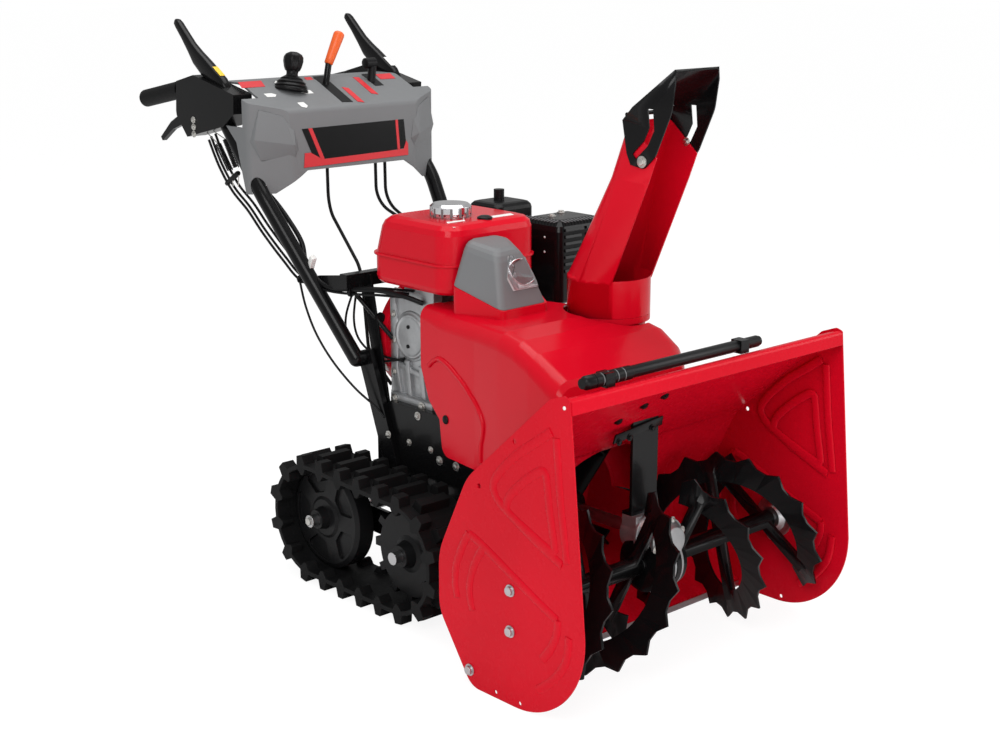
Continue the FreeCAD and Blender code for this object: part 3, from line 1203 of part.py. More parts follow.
def make_handles():
    points = handle_points()
    bends = [value(name) for name in ("bend_low", "bend_high", "bend_grip")]
    upper = shaped("HandleUpper", tube(points, value("handle_radius"), bends))
    leg_low = "0 - handle_foot_half - leg_thick / 2"
    leg = prism("HandleLeg", "YZ_Plane", leg_low, "leg_thick", [
        ("0 - 22", "frame_top - 140"), ("18", "frame_top - 148"), ("knee_rear + 22", "knee_high + 4"),
        ("knee_rear - 18", "knee_high + 20")], [((0, 1), "16")])
    knee = shaped("HandleKnee", Part.makeSphere(value("handle_radius"), points[0]))
    web = shaped("HandleWeb", Part.makeCylinder(value("handle_radius"), value("knee_out"), Vector(points[0]),
                                                Vector(1, 0, 0)))
    pair("handle_tube", fuse("HandleTube", [upper, leg, knee, web]))

    crown, end = points[-2], points[-1]
    run = (end - crown).normalize()
    tip = crown + run * ((value(REAR) - crown.y) / run.y - 4)
    start = tip - run * value("grip_long")
    outer = Part.makeCylinder(value("grip_radius"), value("grip_long"), start, run)
    bore = Part.makeCylinder(value("handle_radius"), (end - start).Length, start, run)
    pair("grip", shaped("Grip", outer.cut(bore)))

    fat = shaped("HandleSpace", tube(points, value("handle_radius + fit_gap"), bends))
    make_brace(fuse("BraceSeats", [upper, mirrored("HandleUpperLeft", upper)]))
    make_console(fuse("ConsoleSeats", [fat, mirrored("HandleSpaceLeft", fat)]))
    make_levers()


def make_brace(tubes):
    """The upright hoop behind the engine that the handle tubes lean on."""
    reach = "(handle_foot_half + 42)"
    bar = block("BraceBar", (f"0 - {reach}", "90", "brace_height - 14"), (f"2 * {reach}", "22", "28"))
    pieces = [bar]
    for word, low in (("Right", "0 - frame_half + frame_thick"), ("Left", "frame_half - 2 * frame_thick")):
        pieces.append(prism(f"Upright{word}", "YZ_Plane", low, "frame_thick", [
            ("frame_rear - 38", "frame_top - 40"), ("frame_rear - 2", "frame_top - 40"), ("112", "brace_height + 10"),
            ("82", "brace_height + 10")]))
    for word, low in (("Right", f"0 - {reach}"), ("Left", f"{reach} - 5")):
        pieces.append(prism(f"BraceEar{word}", "YZ_Plane", low, "5", [
            ("90", "brace_height - 14"), ("178", "brace_height - 30"), ("186", "brace_height"),
            ("90", "brace_height + 14")]))
    node("handle_brace", cut("HandleBrace", fuse("BraceBody", pieces), tubes))


def make_console(seats):
    """Moulded console in front of and above the handle tubes, open towards the rear and below."""
    half = "(handle_half + handle_radius + fit_gap + console_wall)"

    def plan(wall):
        wide = f"({half} - {wall})"
        return [(f"0 - {wide} + 90", f"console_front + {wall}"), (f"{wide} - 90", f"console_front + {wall}"),
                (wide, "console_front + 44"), (wide, "console_front + console_deep - 68"),
                (f"{wide} - 52", "console_front + console_deep"), (f"52 - {wide}", "console_front + console_deep"),
                (f"0 - {wide}", "console_front + console_deep - 68"), (f"0 - {wide}", "console_front + 44")]

    outer = common("ConsoleOuter", [
        prism("ConsoleSide", "YZ_Plane", f"0 - {half}", f"2 * {half}", [
            ("console_front + console_deep", "console_top"), ("console_front + 122", "console_top"),
            ("console_front + 6", "console_brow"), ("console_front", "console_chin - 2"),
            ("console_front", "console_chin - 60"), ("console_front + 50", "console_chin - 60"),
            ("console_front + 84", "console_brow - 66"), ("console_front + console_deep", "console_top - 20")],
            [((2,), "14"), ((1,), "60")]),
        prism("ConsolePlan", "XY_Plane", "console_chin - 100", "400", plan("0"), [((0, 1), "60"), ((2, 7), "16")]),
        prism("ConsoleFront", "XZ_Plane", "console_front - 10", "400", [
            (f"0 - {half}", "console_chin - 44"), (f"50 - {half}", "console_chin - 44"),
            (f"118 - {half}", "console_chin"), (f"{half} - 118", "console_chin"), (f"{half} - 50", "console_chin - 44"),
            (half, "console_chin - 44"), (half, "console_top + 20"), (f"0 - {half}", "console_top + 20")])])
    inside = f"({half} - console_wall)"
    hollow = common("ConsoleHollow", [
        prism("ConsoleHollowSide", "YZ_Plane", f"0 - {inside}", f"2 * {inside}", [
            ("console_front + console_deep + 20", "console_top - console_wall"),
            ("console_front + 124", "console_top - console_wall"),
            ("console_front + console_wall + 6", "console_brow - console_wall"),
            ("console_front + console_wall", "console_chin - 90"),
            ("console_front + console_deep + 20", "console_chin - 90")], [((2,), "10"), ((1,), "56")]),
        prism("ConsoleHollowPlan", "XY_Plane", "console_chin - 100", "400", plan("console_wall"))])
    notch = ("52", "console_deep", "200")
    notches = [block("ConsoleNotchRight", (f"0 - {half} - 10", "console_front + 60", "console_brow - 34"), notch),
               block("ConsoleNotchLeft", (f"{half} - 42", "console_front + 60", "console_brow - 34"), notch)]
    node("console", cut("Console", outer, fuse("ConsoleTools", [hollow, seats] + notches)))


def plate_of(name, low, thick, outline):
    """A flat plate with an outline of (y, z) points, standing across X."""
    points = [Vector(low, y, z) for y, z in outline]
    return shaped(name, Part.Face(Part.makePolygon(points + points[:1])).extrude(Vector(thick, 0, 0)))


def make_levers():
    """Clutch paddles over the grips, the brackets they turn in, and the levers on the console."""
    half, gap = value("handle_half"), value("fit_gap")
    thick, wide = value("paddle_thick"), value("bracket_wide")
    rear = value(REAR)
    crown_y, crown_z = value(CROWN_Y), value("handle_crown")
    under = value("handle_radius") + 4
    paddle = [(rear - 122, 1122), (rear - 160, 1128), (rear - 215, 1072), (rear - 262, 1046), (rear - 324, 1008),
              (rear - 334, 990), (rear - 330, 978), (rear - 300, 972), (rear - 262, 990), (rear - 214, 1020),
              (rear - 186, 1048)]
    body = plate_of("PaddleRight", -half - thick / 2, thick, paddle)
    bracket = plate_of("BracketBody", -half - wide / 2, wide, [
        (crown_y + 52, crown_z - 36 - under), (crown_y + 50, crown_z - 66), (crown_y + 12, crown_z - 108),
        (crown_y - 128, crown_z - 76), (crown_y - 168, crown_z - 48), (crown_y - 170, crown_z - 8),
        (crown_y - 20, crown_z + under + 4), (crown_y + 46, crown_z + under - 12)])
    trigger = plate_of("TriggerBody", -half - thick / 4, thick / 2, [
        (crown_y + 10, crown_z - 70), (crown_y + 30, crown_z - 48), (crown_y + 104, crown_z - 84),
        (crown_y + 148, crown_z - 120), (crown_y + 142, crown_z - 128), (crown_y + 98, crown_z - 100)])
    bends = [value(name) for name in ("bend_low", "bend_high", "bend_grip")]
    seat = shaped("BracketSeat", tube(handle_points(), value("handle_radius") + gap, bends))
    pair("lever_bracket", cut("LeverBracket", fuse("BracketAll", [bracket, trigger]),
                              fuse("BracketTools", [seat, NODES["console"]])))
    lifted = cut("PaddleCut", body, fuse("PaddleTools", [bracket, seat]))
    pair("paddle", lifted)


def stick(name, points, radius):
    """A bar of round section along straight runs between points."""
    pieces = []
    for low, high in zip(points, points[1:]):
        pieces.append(Part.makeCylinder(radius, (high - low).Length, low, high - low))
        pieces.append(Part.makeSphere(radius, high))
    return shaped(name, pieces[0].multiFuse(pieces[1:-1]))


def make_sticks():
    """Joystick and levers that stand on the console."""
    console = NODES["console"]
    deck_y = value("console_front") + 98
    deck_z = value("console_top") - 12
    high, boot = value("stick_high"), value("stick_boot")
    root = Vector(-100, deck_y, deck_z)
    bellows = Part.makeCone(boot, boot * 0.5, 30, root - Vector(0, 0, 8))
    knob = Part.makeCone(14, 21, high - 30, root + Vector(2, 0, 18)).fuse(
        Part.makeSphere(21, root + Vector(2, 0, high - 12)))
    node("joystick", cut("Joystick", shaped("JoystickBody", bellows.fuse(knob)), console))

    lever = value("lever_rod")
    base = Vector(-4, deck_y, deck_z - 4)
    middle, top = base + Vector(14, 0, 52), base + Vector(44, 0, 124)
    shaft = stick("ShiftShaft", [base, middle, top], lever)
    node("shift_lever", cut("ShiftLever", shaft, console))
    run = top - middle
    grip = Part.makeCone(value("lever_grip"), value("lever_grip") + 4, run.Length * 0.98, middle + run * 0.1, run)
    node("shift_grip", cut("ShiftGrip", shaped("ShiftGripBody", grip), shaft))

    base = Vector(118, deck_y, deck_z - 4)
    throttle = stick("ThrottleShaft", [base, base + Vector(4, 0, 34), base + Vector(12, 8, 48)], lever + 3)
    node("throttle_lever", cut("ThrottleLever", throttle, console))


def make_clearing_tool():
    """Plastic bar with a scoop that clears the chute, clipped across the back of the intake."""
    across, along, up = value("chute_across"), value(FRONT) + 67, value("plate_top") + 12
    start = Vector(-value(SIDE) + 55, along, up)
    bar = Part.makeCylinder(value("tool_radius"), across + 52 - start.x, start, Vector(1, 0, 0))
    clips = [Part.makeBox(22, 24, 24, Vector(x, along - 12, up - 13)) for x in (-value(SIDE) + 100, across - 10)]
    body = shaped("ClearingBar", bar.multiFuse(clips))
    node("clearing_tool", cut("ClearingTool", body, NODES["housing_shell"]))


def make_cables():
    """Control cables from inside the console to the engine's rear and the air cleaner."""
    doc.recompute()
    hang, top = value("console_chin") - 90, value("console_top")
    out_y, in_y = value("console_front") + 30, value("console_front") + 26
    rear, crank = value("block_rear"), value("crank_height")
    beside = value("recoil_radius") + 6
    cables = []
    for side, out_x in ((-1, -60), (1, 70)):
        cables.append([Vector(out_x, out_y, top), Vector(out_x, in_y, hang),
                       Vector(side * beside, 119, value("brace_height") + 14),
                       Vector(side * beside, rear + 48, crank - 26),
                       Vector(side * (beside - 20), rear, crank - 91)])
    cleaner = value("cleaner_deep") / 2
    cables.append([Vector(96, out_y, top), Vector(96, in_y, hang), Vector(116, cleaner + 132, hang - 76),
                   Vector(118, cleaner, hang - 96)])
    around = ("console", "engine_block", "air_cleaner")
    solids = []
    for points in cables:
        loose = tube(points, value("cable_radius"), 60).cut([NODES[name].Shape for name in around])
        solids.append(max(loose.Solids, key=lambda solid: solid.Volume))
    node("control_cables", shaped("ControlCables", Part.makeCompound(solids)))


def make_strut():
    """Gas strut that holds the intake's height; its rod's eye lies round a pin above the idler axle."""
    top = Vector(0, value(STRUT_TOP[0]), value(STRUT_TOP[1]))
    foot = Vector(0, value(STRUT_FOOT[0]), value(STRUT_FOOT[1]))
    run = (foot - top).normalize()
    width = 2 * value("strut_radius") - 6
    across = Vector(1, 0, 0)

    def eye(centre, hole):
        ring = Part.makeCylinder(value("strut_eye"), width, centre - across * (width / 2), across)
        return ring, Part.makeCylinder(hole, width + 2, centre - across * (width / 2 + 1), across)

    top_ring, top_hole = eye(top, value("strut_pin") + value("running_gap"))
    barrel = Part.makeCylinder(value("strut_radius"), value("strut_tube"), top + run * 8, run)
    end = top + run * (8 + value("strut_tube"))
    bore = Part.makeCylinder(value("strut_rod") + value("running_gap"), value("strut_bore"), end, run * -1)
    node("lift_cylinder", shaped("LiftCylinder", barrel.fuse(top_ring).cut(top_hole).cut(bore)))

    foot_ring, foot_hole = eye(foot, value("strut_pin") + value("strut_drift"))
    inner_end = end - run * (value("strut_bore") - 44)
    stem = Part.makeCylinder(value("strut_rod"), (foot - inner_end).Length - 9, inner_end, run)
    node("lift_rod", shaped("LiftRod", stem.fuse(foot_ring).cut(foot_hole)))


ALL_MAKERS = [make_augers, make_impeller, make_bearings, make_chute, make_deflector, make_undercarriage,
              make_frame, make_transmission, make_engine, make_cowl, make_handles, make_sticks,
              make_clearing_tool, make_cables, make_strut]


def main():
    region = make_housing()
    make_scraper()
    make_drum(region)
    make_gearbox(region)
    make_cover(region)
    for maker in ALL_MAKERS:
        maker()
    doc.recompute()
    for item in doc.Objects:
        if {"Invalid", "Error"} & set(item.State):
            raise RuntimeError(f"{item.Name} failed: {item.State}")
    os.makedirs("parts", exist_ok=True)
    for name, item in NODES.items():
        shape = item.Shape
        if shape.isNull() or not shape.isValid() or not shape.Solids:
            raise RuntimeError(f"{name} has no valid solid")
        shape.exportStep(f"parts/{name}.step")
        print(name, len(shape.Solids), round(shape.Volume))


main()
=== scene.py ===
"""Looks of a tracked two-stage snow blower: finishes, studio, small fittings and trim."""
import bmesh
import bpy
import json
import math
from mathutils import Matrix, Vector
from mathutils.bvhtree import BVHTree

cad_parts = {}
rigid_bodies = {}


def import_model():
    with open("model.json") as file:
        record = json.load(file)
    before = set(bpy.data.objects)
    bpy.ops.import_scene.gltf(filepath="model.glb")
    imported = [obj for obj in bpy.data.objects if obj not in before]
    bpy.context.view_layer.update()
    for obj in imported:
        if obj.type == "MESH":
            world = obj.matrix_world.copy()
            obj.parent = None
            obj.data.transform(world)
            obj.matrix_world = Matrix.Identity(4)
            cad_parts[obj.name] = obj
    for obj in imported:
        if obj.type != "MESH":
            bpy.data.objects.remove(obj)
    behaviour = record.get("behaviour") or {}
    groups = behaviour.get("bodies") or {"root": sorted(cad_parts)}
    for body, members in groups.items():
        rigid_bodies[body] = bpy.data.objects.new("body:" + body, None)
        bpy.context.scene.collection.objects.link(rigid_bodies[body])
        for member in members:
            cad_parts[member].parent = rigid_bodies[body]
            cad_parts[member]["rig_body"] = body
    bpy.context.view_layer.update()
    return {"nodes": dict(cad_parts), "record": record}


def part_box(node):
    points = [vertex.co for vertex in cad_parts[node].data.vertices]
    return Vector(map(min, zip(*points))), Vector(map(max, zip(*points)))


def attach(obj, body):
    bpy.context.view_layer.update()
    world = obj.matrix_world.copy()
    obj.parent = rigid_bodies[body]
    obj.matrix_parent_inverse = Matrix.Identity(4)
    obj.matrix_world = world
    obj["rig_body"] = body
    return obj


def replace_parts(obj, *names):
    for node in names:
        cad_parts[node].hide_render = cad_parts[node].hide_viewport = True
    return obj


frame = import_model()
NODES = frame["nodes"]
MM = 0.001

# Camera: where it stands, where it looks and its lens.
CAMERA_PLACE = Vector((-2.1585, -2.5078, 1.277))
CAMERA_YAW = math.radians(42.586)
CAMERA_PITCH = math.radians(14.555)
LENS_MM = 59.4

# Colours, as linear red, green and blue.
RED = (0.62, 0.003, 0.016)
RED_DEEP = (0.50, 0.002, 0.011)
BLACK = (0.0035, 0.0035, 0.0038)
SOFT_BLACK = (0.005, 0.005, 0.0055)
WHEEL_BLACK = (0.008, 0.008, 0.0085)
RUBBER_BLACK = (0.0055, 0.0055, 0.0058)
STEEL = (0.52, 0.52, 0.53)
CAST_SILVER = (0.50, 0.51, 0.52)
ZINC = (0.62, 0.61, 0.58)
CHROME = (0.80, 0.80, 0.82)
GREY = (0.165, 0.17, 0.175)
ORANGE = (0.85, 0.12, 0.012)
YELLOW = (0.85, 0.55, 0.02)
WHITE = (0.80, 0.80, 0.78)
LENS = (0.86, 0.88, 0.90)

# Sizes in metres for the node trees, and in millimetres for the moulds.
EDGE_RADIUS = 0.0014
DRAWN_STEP = 0.006
HANDLE_HALF = 228
PLATE_OUT = 362.5
PLATE_IN = 356.0
ENGINE_SIDE = -107
WELD_REACH = 2e-5
CREASE_DEGREES = 38


# ---------------- node trees
class Wire:
    """A socket's value that can be used in sums; each sum adds a Math node."""

    def __init__(self, net, socket):
        self.net, self.socket = net, socket

    def _math(self, operation, first, second=0.0):
        return self.net.add("ShaderNodeMath", {"operation": operation}, first, second)

    def __add__(self, other):
        return self._math("ADD", self, other)

    def __mul__(self, other):
        return self._math("MULTIPLY", self, other)

    def __sub__(self, other):
        return self._math("SUBTRACT", self, other)

    def __rsub__(self, other):
        return self._math("SUBTRACT", other, self)

    __radd__ = __add__
    __rmul__ = __mul__


class Net:
    """A node tree that is added to one node at a time."""
    prefix = "ShaderNode"

    def add(self, kind, settings=None, *values, **named):
        node = self.tree.nodes.new(kind if "Node" in kind else self.prefix + kind)
        for key, setting in (settings or {}).items():
            setattr(node, key, setting)
        spots = [(node.inputs[key.replace("_", " ")], value) for key, value in named.items()]
        for socket, value in list(zip(node.inputs, values)) + spots:
            self.join(value, socket)
        return Wire(self, node.outputs[0])

    def join(self, value, socket):
        if isinstance(value, Wire):
            self.tree.links.new(value.socket, socket)
        elif isinstance(value, tuple) and len(value) == 3 and socket.type == "RGBA":
            socket.default_value = (*value, 1.0)
        elif value is not None:
            socket.default_value = value


class Finish(Net):
    """A material whose nodes stand around a Principled shader; its edges catch a thin line of light."""

    def __init__(self, name, edge=EDGE_RADIUS):
        self.material = bpy.data.materials.new(name)
        self.material.use_nodes = True
        self.tree = self.material.node_tree
        self.shader = next(n for n in self.tree.nodes if n.type == "BSDF_PRINCIPLED")
        self.place = Wire(self, self.tree.nodes.new("ShaderNodeTexCoord").outputs["Object"])
        self.edge = edge

    def set(self, **values):
        for key, value in values.items():
            self.join(value, self.shader.inputs[key.replace("_", " ")])
        return self

    def noise(self, scale, detail=3.0, rough=0.5, where=None):
        return self.add("TexNoise", None, Vector=where or self.place, Scale=scale, Detail=detail,
                        Roughness=rough)

    def cells(self, scale):
        return self.add("TexVoronoi", None, Vector=self.place, Scale=scale)

    def stretched(self, factors):
        return self.add("VectorMath", {"operation": "MULTIPLY"}, self.place, Vector(factors))

    def ramp(self, value, low, high):
        """Zero below low, one above high, smooth between."""
        return self.add("MapRange", {"interpolation_type": "SMOOTHSTEP"}, value, low, high, 0.0, 1.0)

    def mix(self, factor, first, second):
        node = self.tree.nodes.new("ShaderNodeMix")
        node.data_type = "RGBA"
        for socket, value in zip((node.inputs[0], node.inputs[6], node.inputs[7]), (factor, first, second)):
            self.join(value, socket)
        return Wire(self, node.outputs[2])

    def bump(self, height, distance, strength=1.0):
        rounded = self.add("Bevel", {"samples": 4}, self.edge) if self.edge else None
        bump = self.add("Bump", None, Strength=strength, Distance=distance, Height=height, Normal=rounded)
        self.join(bump, self.shader.inputs["Normal"])
        return self


def gloss_coat(name, colour, deep, roughness, peel, coat=0.5, specular=0.5):
    """Lacquered sheet or shiny moulding: a faint cloud in the colour, peel and dust in the gloss."""
    f = Finish(name)
    cloud = f.ramp(f.noise(3.0, 2.0), 0.35, 0.7)
    dust = f.noise(38.0, 5.0, 0.65)
    f.set(Base_Color=f.mix(cloud * 0.5, colour, deep), Roughness=roughness + dust * 0.10)
    f.set(Coat_Weight=coat, Coat_Roughness=0.08, IOR=1.5, Specular_IOR_Level=specular)
    f.bump(f.noise(260.0, 2.0) * 0.6 + f.noise(30.0, 1.0) * 0.4, peel)
    return f.material


def moulded(name, colour, roughness, grain, depth, specular=0.5):
    """Moulded plastic with a fine leathery grain and slightly uneven colour."""
    f = Finish(name)
    cloud = f.noise(6.0, 3.0)
    shade = tuple(c * 0.82 for c in colour)
    f.set(Base_Color=f.mix(cloud, colour, shade),
          Roughness=roughness + f.noise(55.0, 4.0) * 0.12 - 0.05)
    f.set(Specular_IOR_Level=specular)
    f.bump(f.cells(grain) * 0.7 + f.noise(grain * 2.5, 2.0) * 0.3, depth)
    return f.material


def rubber(name, colour):
    """Moulded rubber: matt, dusty in patches, finely pitted."""
    f = Finish(name)
    dusty = f.ramp(f.noise(11.0, 6.0, 0.7), 0.48, 0.78)
    pale = tuple(c * 1.8 + 0.002 for c in colour)
    f.set(Base_Color=f.mix(dusty * 0.5, colour, pale), Roughness=0.60 + dusty * 0.2,
          Specular_IOR_Level=0.14)
    f.bump(f.noise(420.0, 3.0) * 0.5 + f.noise(70.0, 4.0) * 0.5, 0.0005)
    return f.material


def bare_metal(name, colour, roughness, brushed, depth=0.0001):
    """Drawn or brushed steel with fine lines along one axis."""
    f = Finish(name)
    lines = f.noise(90.0, 4.0, 0.6, where=f.stretched(brushed))
    stain = f.ramp(f.noise(9.0, 4.0), 0.4, 0.75)
    dim = tuple(c * 0.72 for c in colour)
    f.set(Base_Color=f.mix(stain * 0.6, colour, dim), Metallic=1.0,
          Roughness=roughness + lines * 0.2)
    f.bump(lines, depth)
    return f.material


def cast_metal(name, colour, roughness):
    """Sand-cast alloy: pebbled skin, darker in its hollows."""
    f = Finish(name, edge=0.003)
    pebbles = f.noise(190.0, 4.0, 0.6)
    stain = f.ramp(f.noise(14.0, 5.0, 0.6), 0.42, 0.7)
    dim = tuple(c * 0.6 for c in colour)
    f.set(Base_Color=f.mix(stain * 0.55, colour, dim), Metallic=0.85,
          Roughness=roughness + pebbles * 0.18)
    f.bump(pebbles * 0.7 + f.noise(45.0, 2.0) * 0.3, 0.0006)
    return f.material


def lens_plastic():
    """Clear moulded lens over the lamp."""
    f = Finish("clear_lens", edge=0.002)
    f.set(Base_Color=LENS, Roughness=0.04, Transmission_Weight=0.9, IOR=1.4)
    f.bump(f.noise(40.0, 1.0), 0.0002)
    return f.material


# Lacquers and shiny mouldings: colour, its deeper tone, roughness, peel, coat and specular level.
GLOSSY = {
    "red_paint": (RED, RED_DEEP, 0.22, 0.00003, 0.03, 0.09),
    "red_plastic": (RED, RED_DEEP, 0.16, 0.00002, 0.08, 0.12),
    "black_paint": (BLACK, SOFT_BLACK, 0.20, 0.00004, 0.10, 0.14),
    "yellow_plate": (YELLOW, (0.80, 0.50, 0.02), 0.35, 0.00003, 0.2),
    "white_plate": (WHITE, (0.74, 0.74, 0.72), 0.35, 0.00003, 0.2),
    "lamp_silver": ((0.62, 0.60, 0.60), (0.5, 0.46, 0.46), 0.2, 0.00002, 0.3),
    # The lamp's bowl is a flat disc on the solid cowl; its dark red colour paints the shade of the lamp's
    # hollow.
    "lamp_bowl_painted_shade": ((0.12, 0.035, 0.04), (0.05, 0.03, 0.035), 0.12, 0.00002, 0.6),
    "decal_red": ((0.60, 0.012, 0.02), (0.5, 0.01, 0.016), 0.4, 0.00002, 0.1),
}
# Grained mouldings: colour, roughness, grain, its depth and specular level.
MOULDED = {
    "wheel_plastic": (WHEEL_BLACK, 0.36, 240.0, 0.0001, 0.14),
    "grey_plastic": (GREY, 0.50, 520.0, 0.0002),
    "black_plastic": (SOFT_BLACK, 0.34, 420.0, 0.0001, 0.18),
    "orange_plastic": (ORANGE, 0.38, 300.0, 0.0002),
}
# Bare metals: colour, roughness, how the lines are drawn out, and their depth.
METALS = {
    "bare_steel": (STEEL, 0.24, (1.0, 12.0, 12.0)),
    "chrome": (CHROME, 0.05, (1.0, 1.0, 6.0), 0.00002),
    "zinc": (ZINC, 0.28, (1.0, 1.0, 1.0)),
}


def make_finishes():
    """One material for every slot of the record, and some more for the trim."""
    finishes = {"cast_aluminium": cast_metal("cast_aluminium", CAST_SILVER, 0.34),
                "black_rubber": rubber("black_rubber", RUBBER_BLACK), "clear_lens": lens_plastic()}
    for make, rows in ((gloss_coat, GLOSSY), (moulded, MOULDED), (bare_metal, METALS)):
        finishes.update({name: make(name, *values) for name, values in rows.items()})
    finishes["strut_paint"] = finishes["black_paint"]
    return finishes


FINISHES = make_finishes()


def dress_frame():
    """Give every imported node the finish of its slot."""
    for part in frame["record"]["subparts"]:
        mesh = NODES[part["node"]].data
        mesh.materials.clear()
        mesh.materials.append(FINISHES[part["material_slot"]])


# ---------------- making pieces
def keep(piece, body, slot, finish=None):
    """Give a finished piece its body and finish."""
    if finish or not piece.data.materials:
        piece.data.materials.clear()
        piece.data.materials.append(FINISHES[finish or slot])
    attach(piece, body)
    return piece


class Grower(Net):
    """A Geometry Nodes tree with named sizes, grown from seeds into plain meshes."""
    prefix = "GeometryNode"

    def __init__(self, name, **sizes):
        self.tree = bpy.data.node_groups.new(name, "GeometryNodeTree")
        face = self.tree.interface
        face.new_socket("Seeds", in_out="INPUT", socket_type="NodeSocketGeometry")
        face.new_socket("Geometry", in_out="OUTPUT", socket_type="NodeSocketGeometry")
        for label, value in sizes.items():
            socket = face.new_socket(label, in_out="INPUT", socket_type="NodeSocketFloat")
            socket.default_value = value
        face.new_socket("Finish", in_out="INPUT", socket_type="NodeSocketMaterial")
        self.given = self.tree.nodes.new("NodeGroupInput")
        self.seeds = self.size("Seeds")

    def size(self, label):
        return Wire(self, self.given.outputs[label])

    def point_value(self, name, kind="FLOAT_VECTOR"):
        return self.add("InputNamedAttribute", {"data_type": kind}, name)

    def end(self, grown):
        real = self.add("RealizeInstances", None, grown)
        painted = self.add("SetMaterial", None, real, Material=self.size("Finish"))
        last = self.tree.nodes.new("NodeGroupOutput")
        self.tree.links.new(painted.socket, last.inputs[0])

    def grow(self, name, seeds, body, slot, finish=None, smooth=35, **sizes):
        """seeds is a mesh; the result is a plain mesh that rides on body."""
        piece = bpy.data.objects.new(name, seeds)
        bpy.context.scene.collection.objects.link(piece)
        modifier = piece.modifiers.new(name, "NODES")
        modifier.node_group = self.tree
        given = dict(sizes, Finish=FINISHES[finish or slot])
        for item in self.tree.interface.items_tree:
            if item.in_out == "INPUT" and item.name in given:
                modifier[item.identifier] = given[item.name]
        graph = bpy.context.evaluated_depsgraph_get()
        grown = bpy.data.meshes.new_from_object(piece.evaluated_get(graph), depsgraph=graph)
        piece.modifiers.remove(modifier)
        piece.data = grown
        grown.shade_smooth()
        grown.set_sharp_from_angle(angle=math.radians(smooth))
        return keep(piece, body, slot)


def note(mesh, name, kind, field, values):
    """Write one value for every seed."""
    column = mesh.attributes.new(name, kind, "POINT")
    for number, value in enumerate(values):
        setattr(column.data[number], field, value)


def points(rows):
    """Seeds at single points: each row is place, aim and size, in millimetres."""
    mesh = bpy.data.meshes.new("seeds")
    mesh.from_pydata([Vector(place) * MM for place, aim, size in rows], [], [])
    note(mesh, "aim", "FLOAT_VECTOR", "vector",
         [tuple(Vector(aim).normalized()) for place, aim, size in rows])
    note(mesh, "size", "FLOAT", "value", [size * MM for place, aim, size in rows])
    return mesh


def strokes(paths):
    """Seeds along lines of places, in millimetres; a line that returns to its start is closed."""
    places, edges = [], []
    for path in paths:
        closed = path[0] == path[-1]
        run = path[:-1] if closed else path
        first = len(places)
        places += [Vector(place) * MM for place in run]
        edges += [(first + i, first + i + 1) for i in range(len(run) - 1)]
        if closed:
            edges.append((len(places) - 1, first))
    mesh = bpy.data.meshes.new("seeds")
    mesh.from_pydata(places, edges, [])
    return mesh


def seeded_head(name, shapes):
    """A tree that sets a little turned body on every seed, turned to the seed's aim."""
    g = Grower(name)
    parts = g.tree.nodes.new("GeometryNodeJoinGeometry")
    for kind, settings, values, lift, squash in shapes:
        solid = g.add(kind, settings, **values)
        moved = g.add("Transform", None, solid, Translation=Vector((0, 0, lift)),
                      Scale=Vector((1, 1, squash)))
        g.tree.links.new(moved.socket, parts.inputs[0])
    turned = g.add("FunctionNodeAlignRotationToVector", {"axis": "Z"}, Vector=g.point_value("aim"))
    g.end(g.add("InstanceOnPoints", None, g.seeds, Instance=Wire(g, parts.outputs[0]),
                Rotation=turned, Scale=g.point_value("size", "FLOAT")))
    return g


HEX_HEAD = seeded_head("hex_head", [
    ("MeshCylinder", None, {"Vertices": 24, "Radius": 1.45, "Depth": 0.25}, 0.125, 1.0),
    ("MeshCylinder", None, {"Vertices": 6, "Radius": 1.0, "Depth": 0.5}, 0.5, 1.0),
    ("MeshCone", None, {"Vertices": 6, "Radius_Top": 0.74, "Radius_Bottom": 1.0, "Depth": 0.12},
     0.75, 1.0)])
ROUND_HEAD = seeded_head("round_head", [
    ("MeshUVSphere", None, {"Segments": 24, "Rings": 12, "Radius": 1.0}, 0.0, 0.55)])
DISC_HEAD = seeded_head("disc_head", [
    ("MeshCylinder", None, {"Vertices": 32, "Radius": 1.0, "Depth": 0.5}, 0.2, 1.0)])


def make_drawn():
    """A tree that draws a round bar along each seed line; Flat presses it to the plane X = Plane."""
    g = Grower("drawn_bar", Radius=0.002, Plane=0.0, Flat=1.0)
    line = g.add("MeshToCurve", None, g.seeds)
    smooth = g.add("CurveSplineType", {"spline_type": "CATMULL_ROM"}, line)
    even = g.add("ResampleCurve", None, smooth)
    even.socket.node.mode = "LENGTH"
    even.socket.node.inputs["Length"].default_value = DRAWN_STEP
    ring = g.add("CurvePrimitiveCircle", None, Resolution=12, Radius=g.size("Radius"))
    bar = g.add("CurveToMesh", None, even, Profile_Curve=ring, Fill_Caps=True)
    left = g.add("ShaderNodeCombineXYZ", None, g.size("Plane") * (1 - g.size("Flat")), 0.0, 0.0)
    squash = g.add("ShaderNodeCombineXYZ", None, g.size("Flat"), 1.0, 1.0)
    g.end(g.add("Transform", None, bar, Translation=left, Scale=squash))
    return g


def make_spring():
    """A tree that winds a spring on every seed, along its aim."""
    g = Grower("wound_spring", Turns=8.0, Length=0.04, Radius=0.006, Wire_Radius=0.0012)
    helix = g.add("CurveSpiral", None, Resolution=20, Rotations=g.size("Turns"),
                  Start_Radius=g.size("Radius"), End_Radius=g.size("Radius"), Height=g.size("Length"))
    ring = g.add("CurvePrimitiveCircle", None, Resolution=8, Radius=g.size("Wire_Radius"))
    wound = g.add("CurveToMesh", None, helix, Profile_Curve=ring, Fill_Caps=True)
    turned = g.add("FunctionNodeAlignRotationToVector", {"axis": "Z"}, Vector=g.point_value("aim"))
    g.end(g.add("InstanceOnPoints", None, g.seeds, Instance=wound, Rotation=turned))
    return g


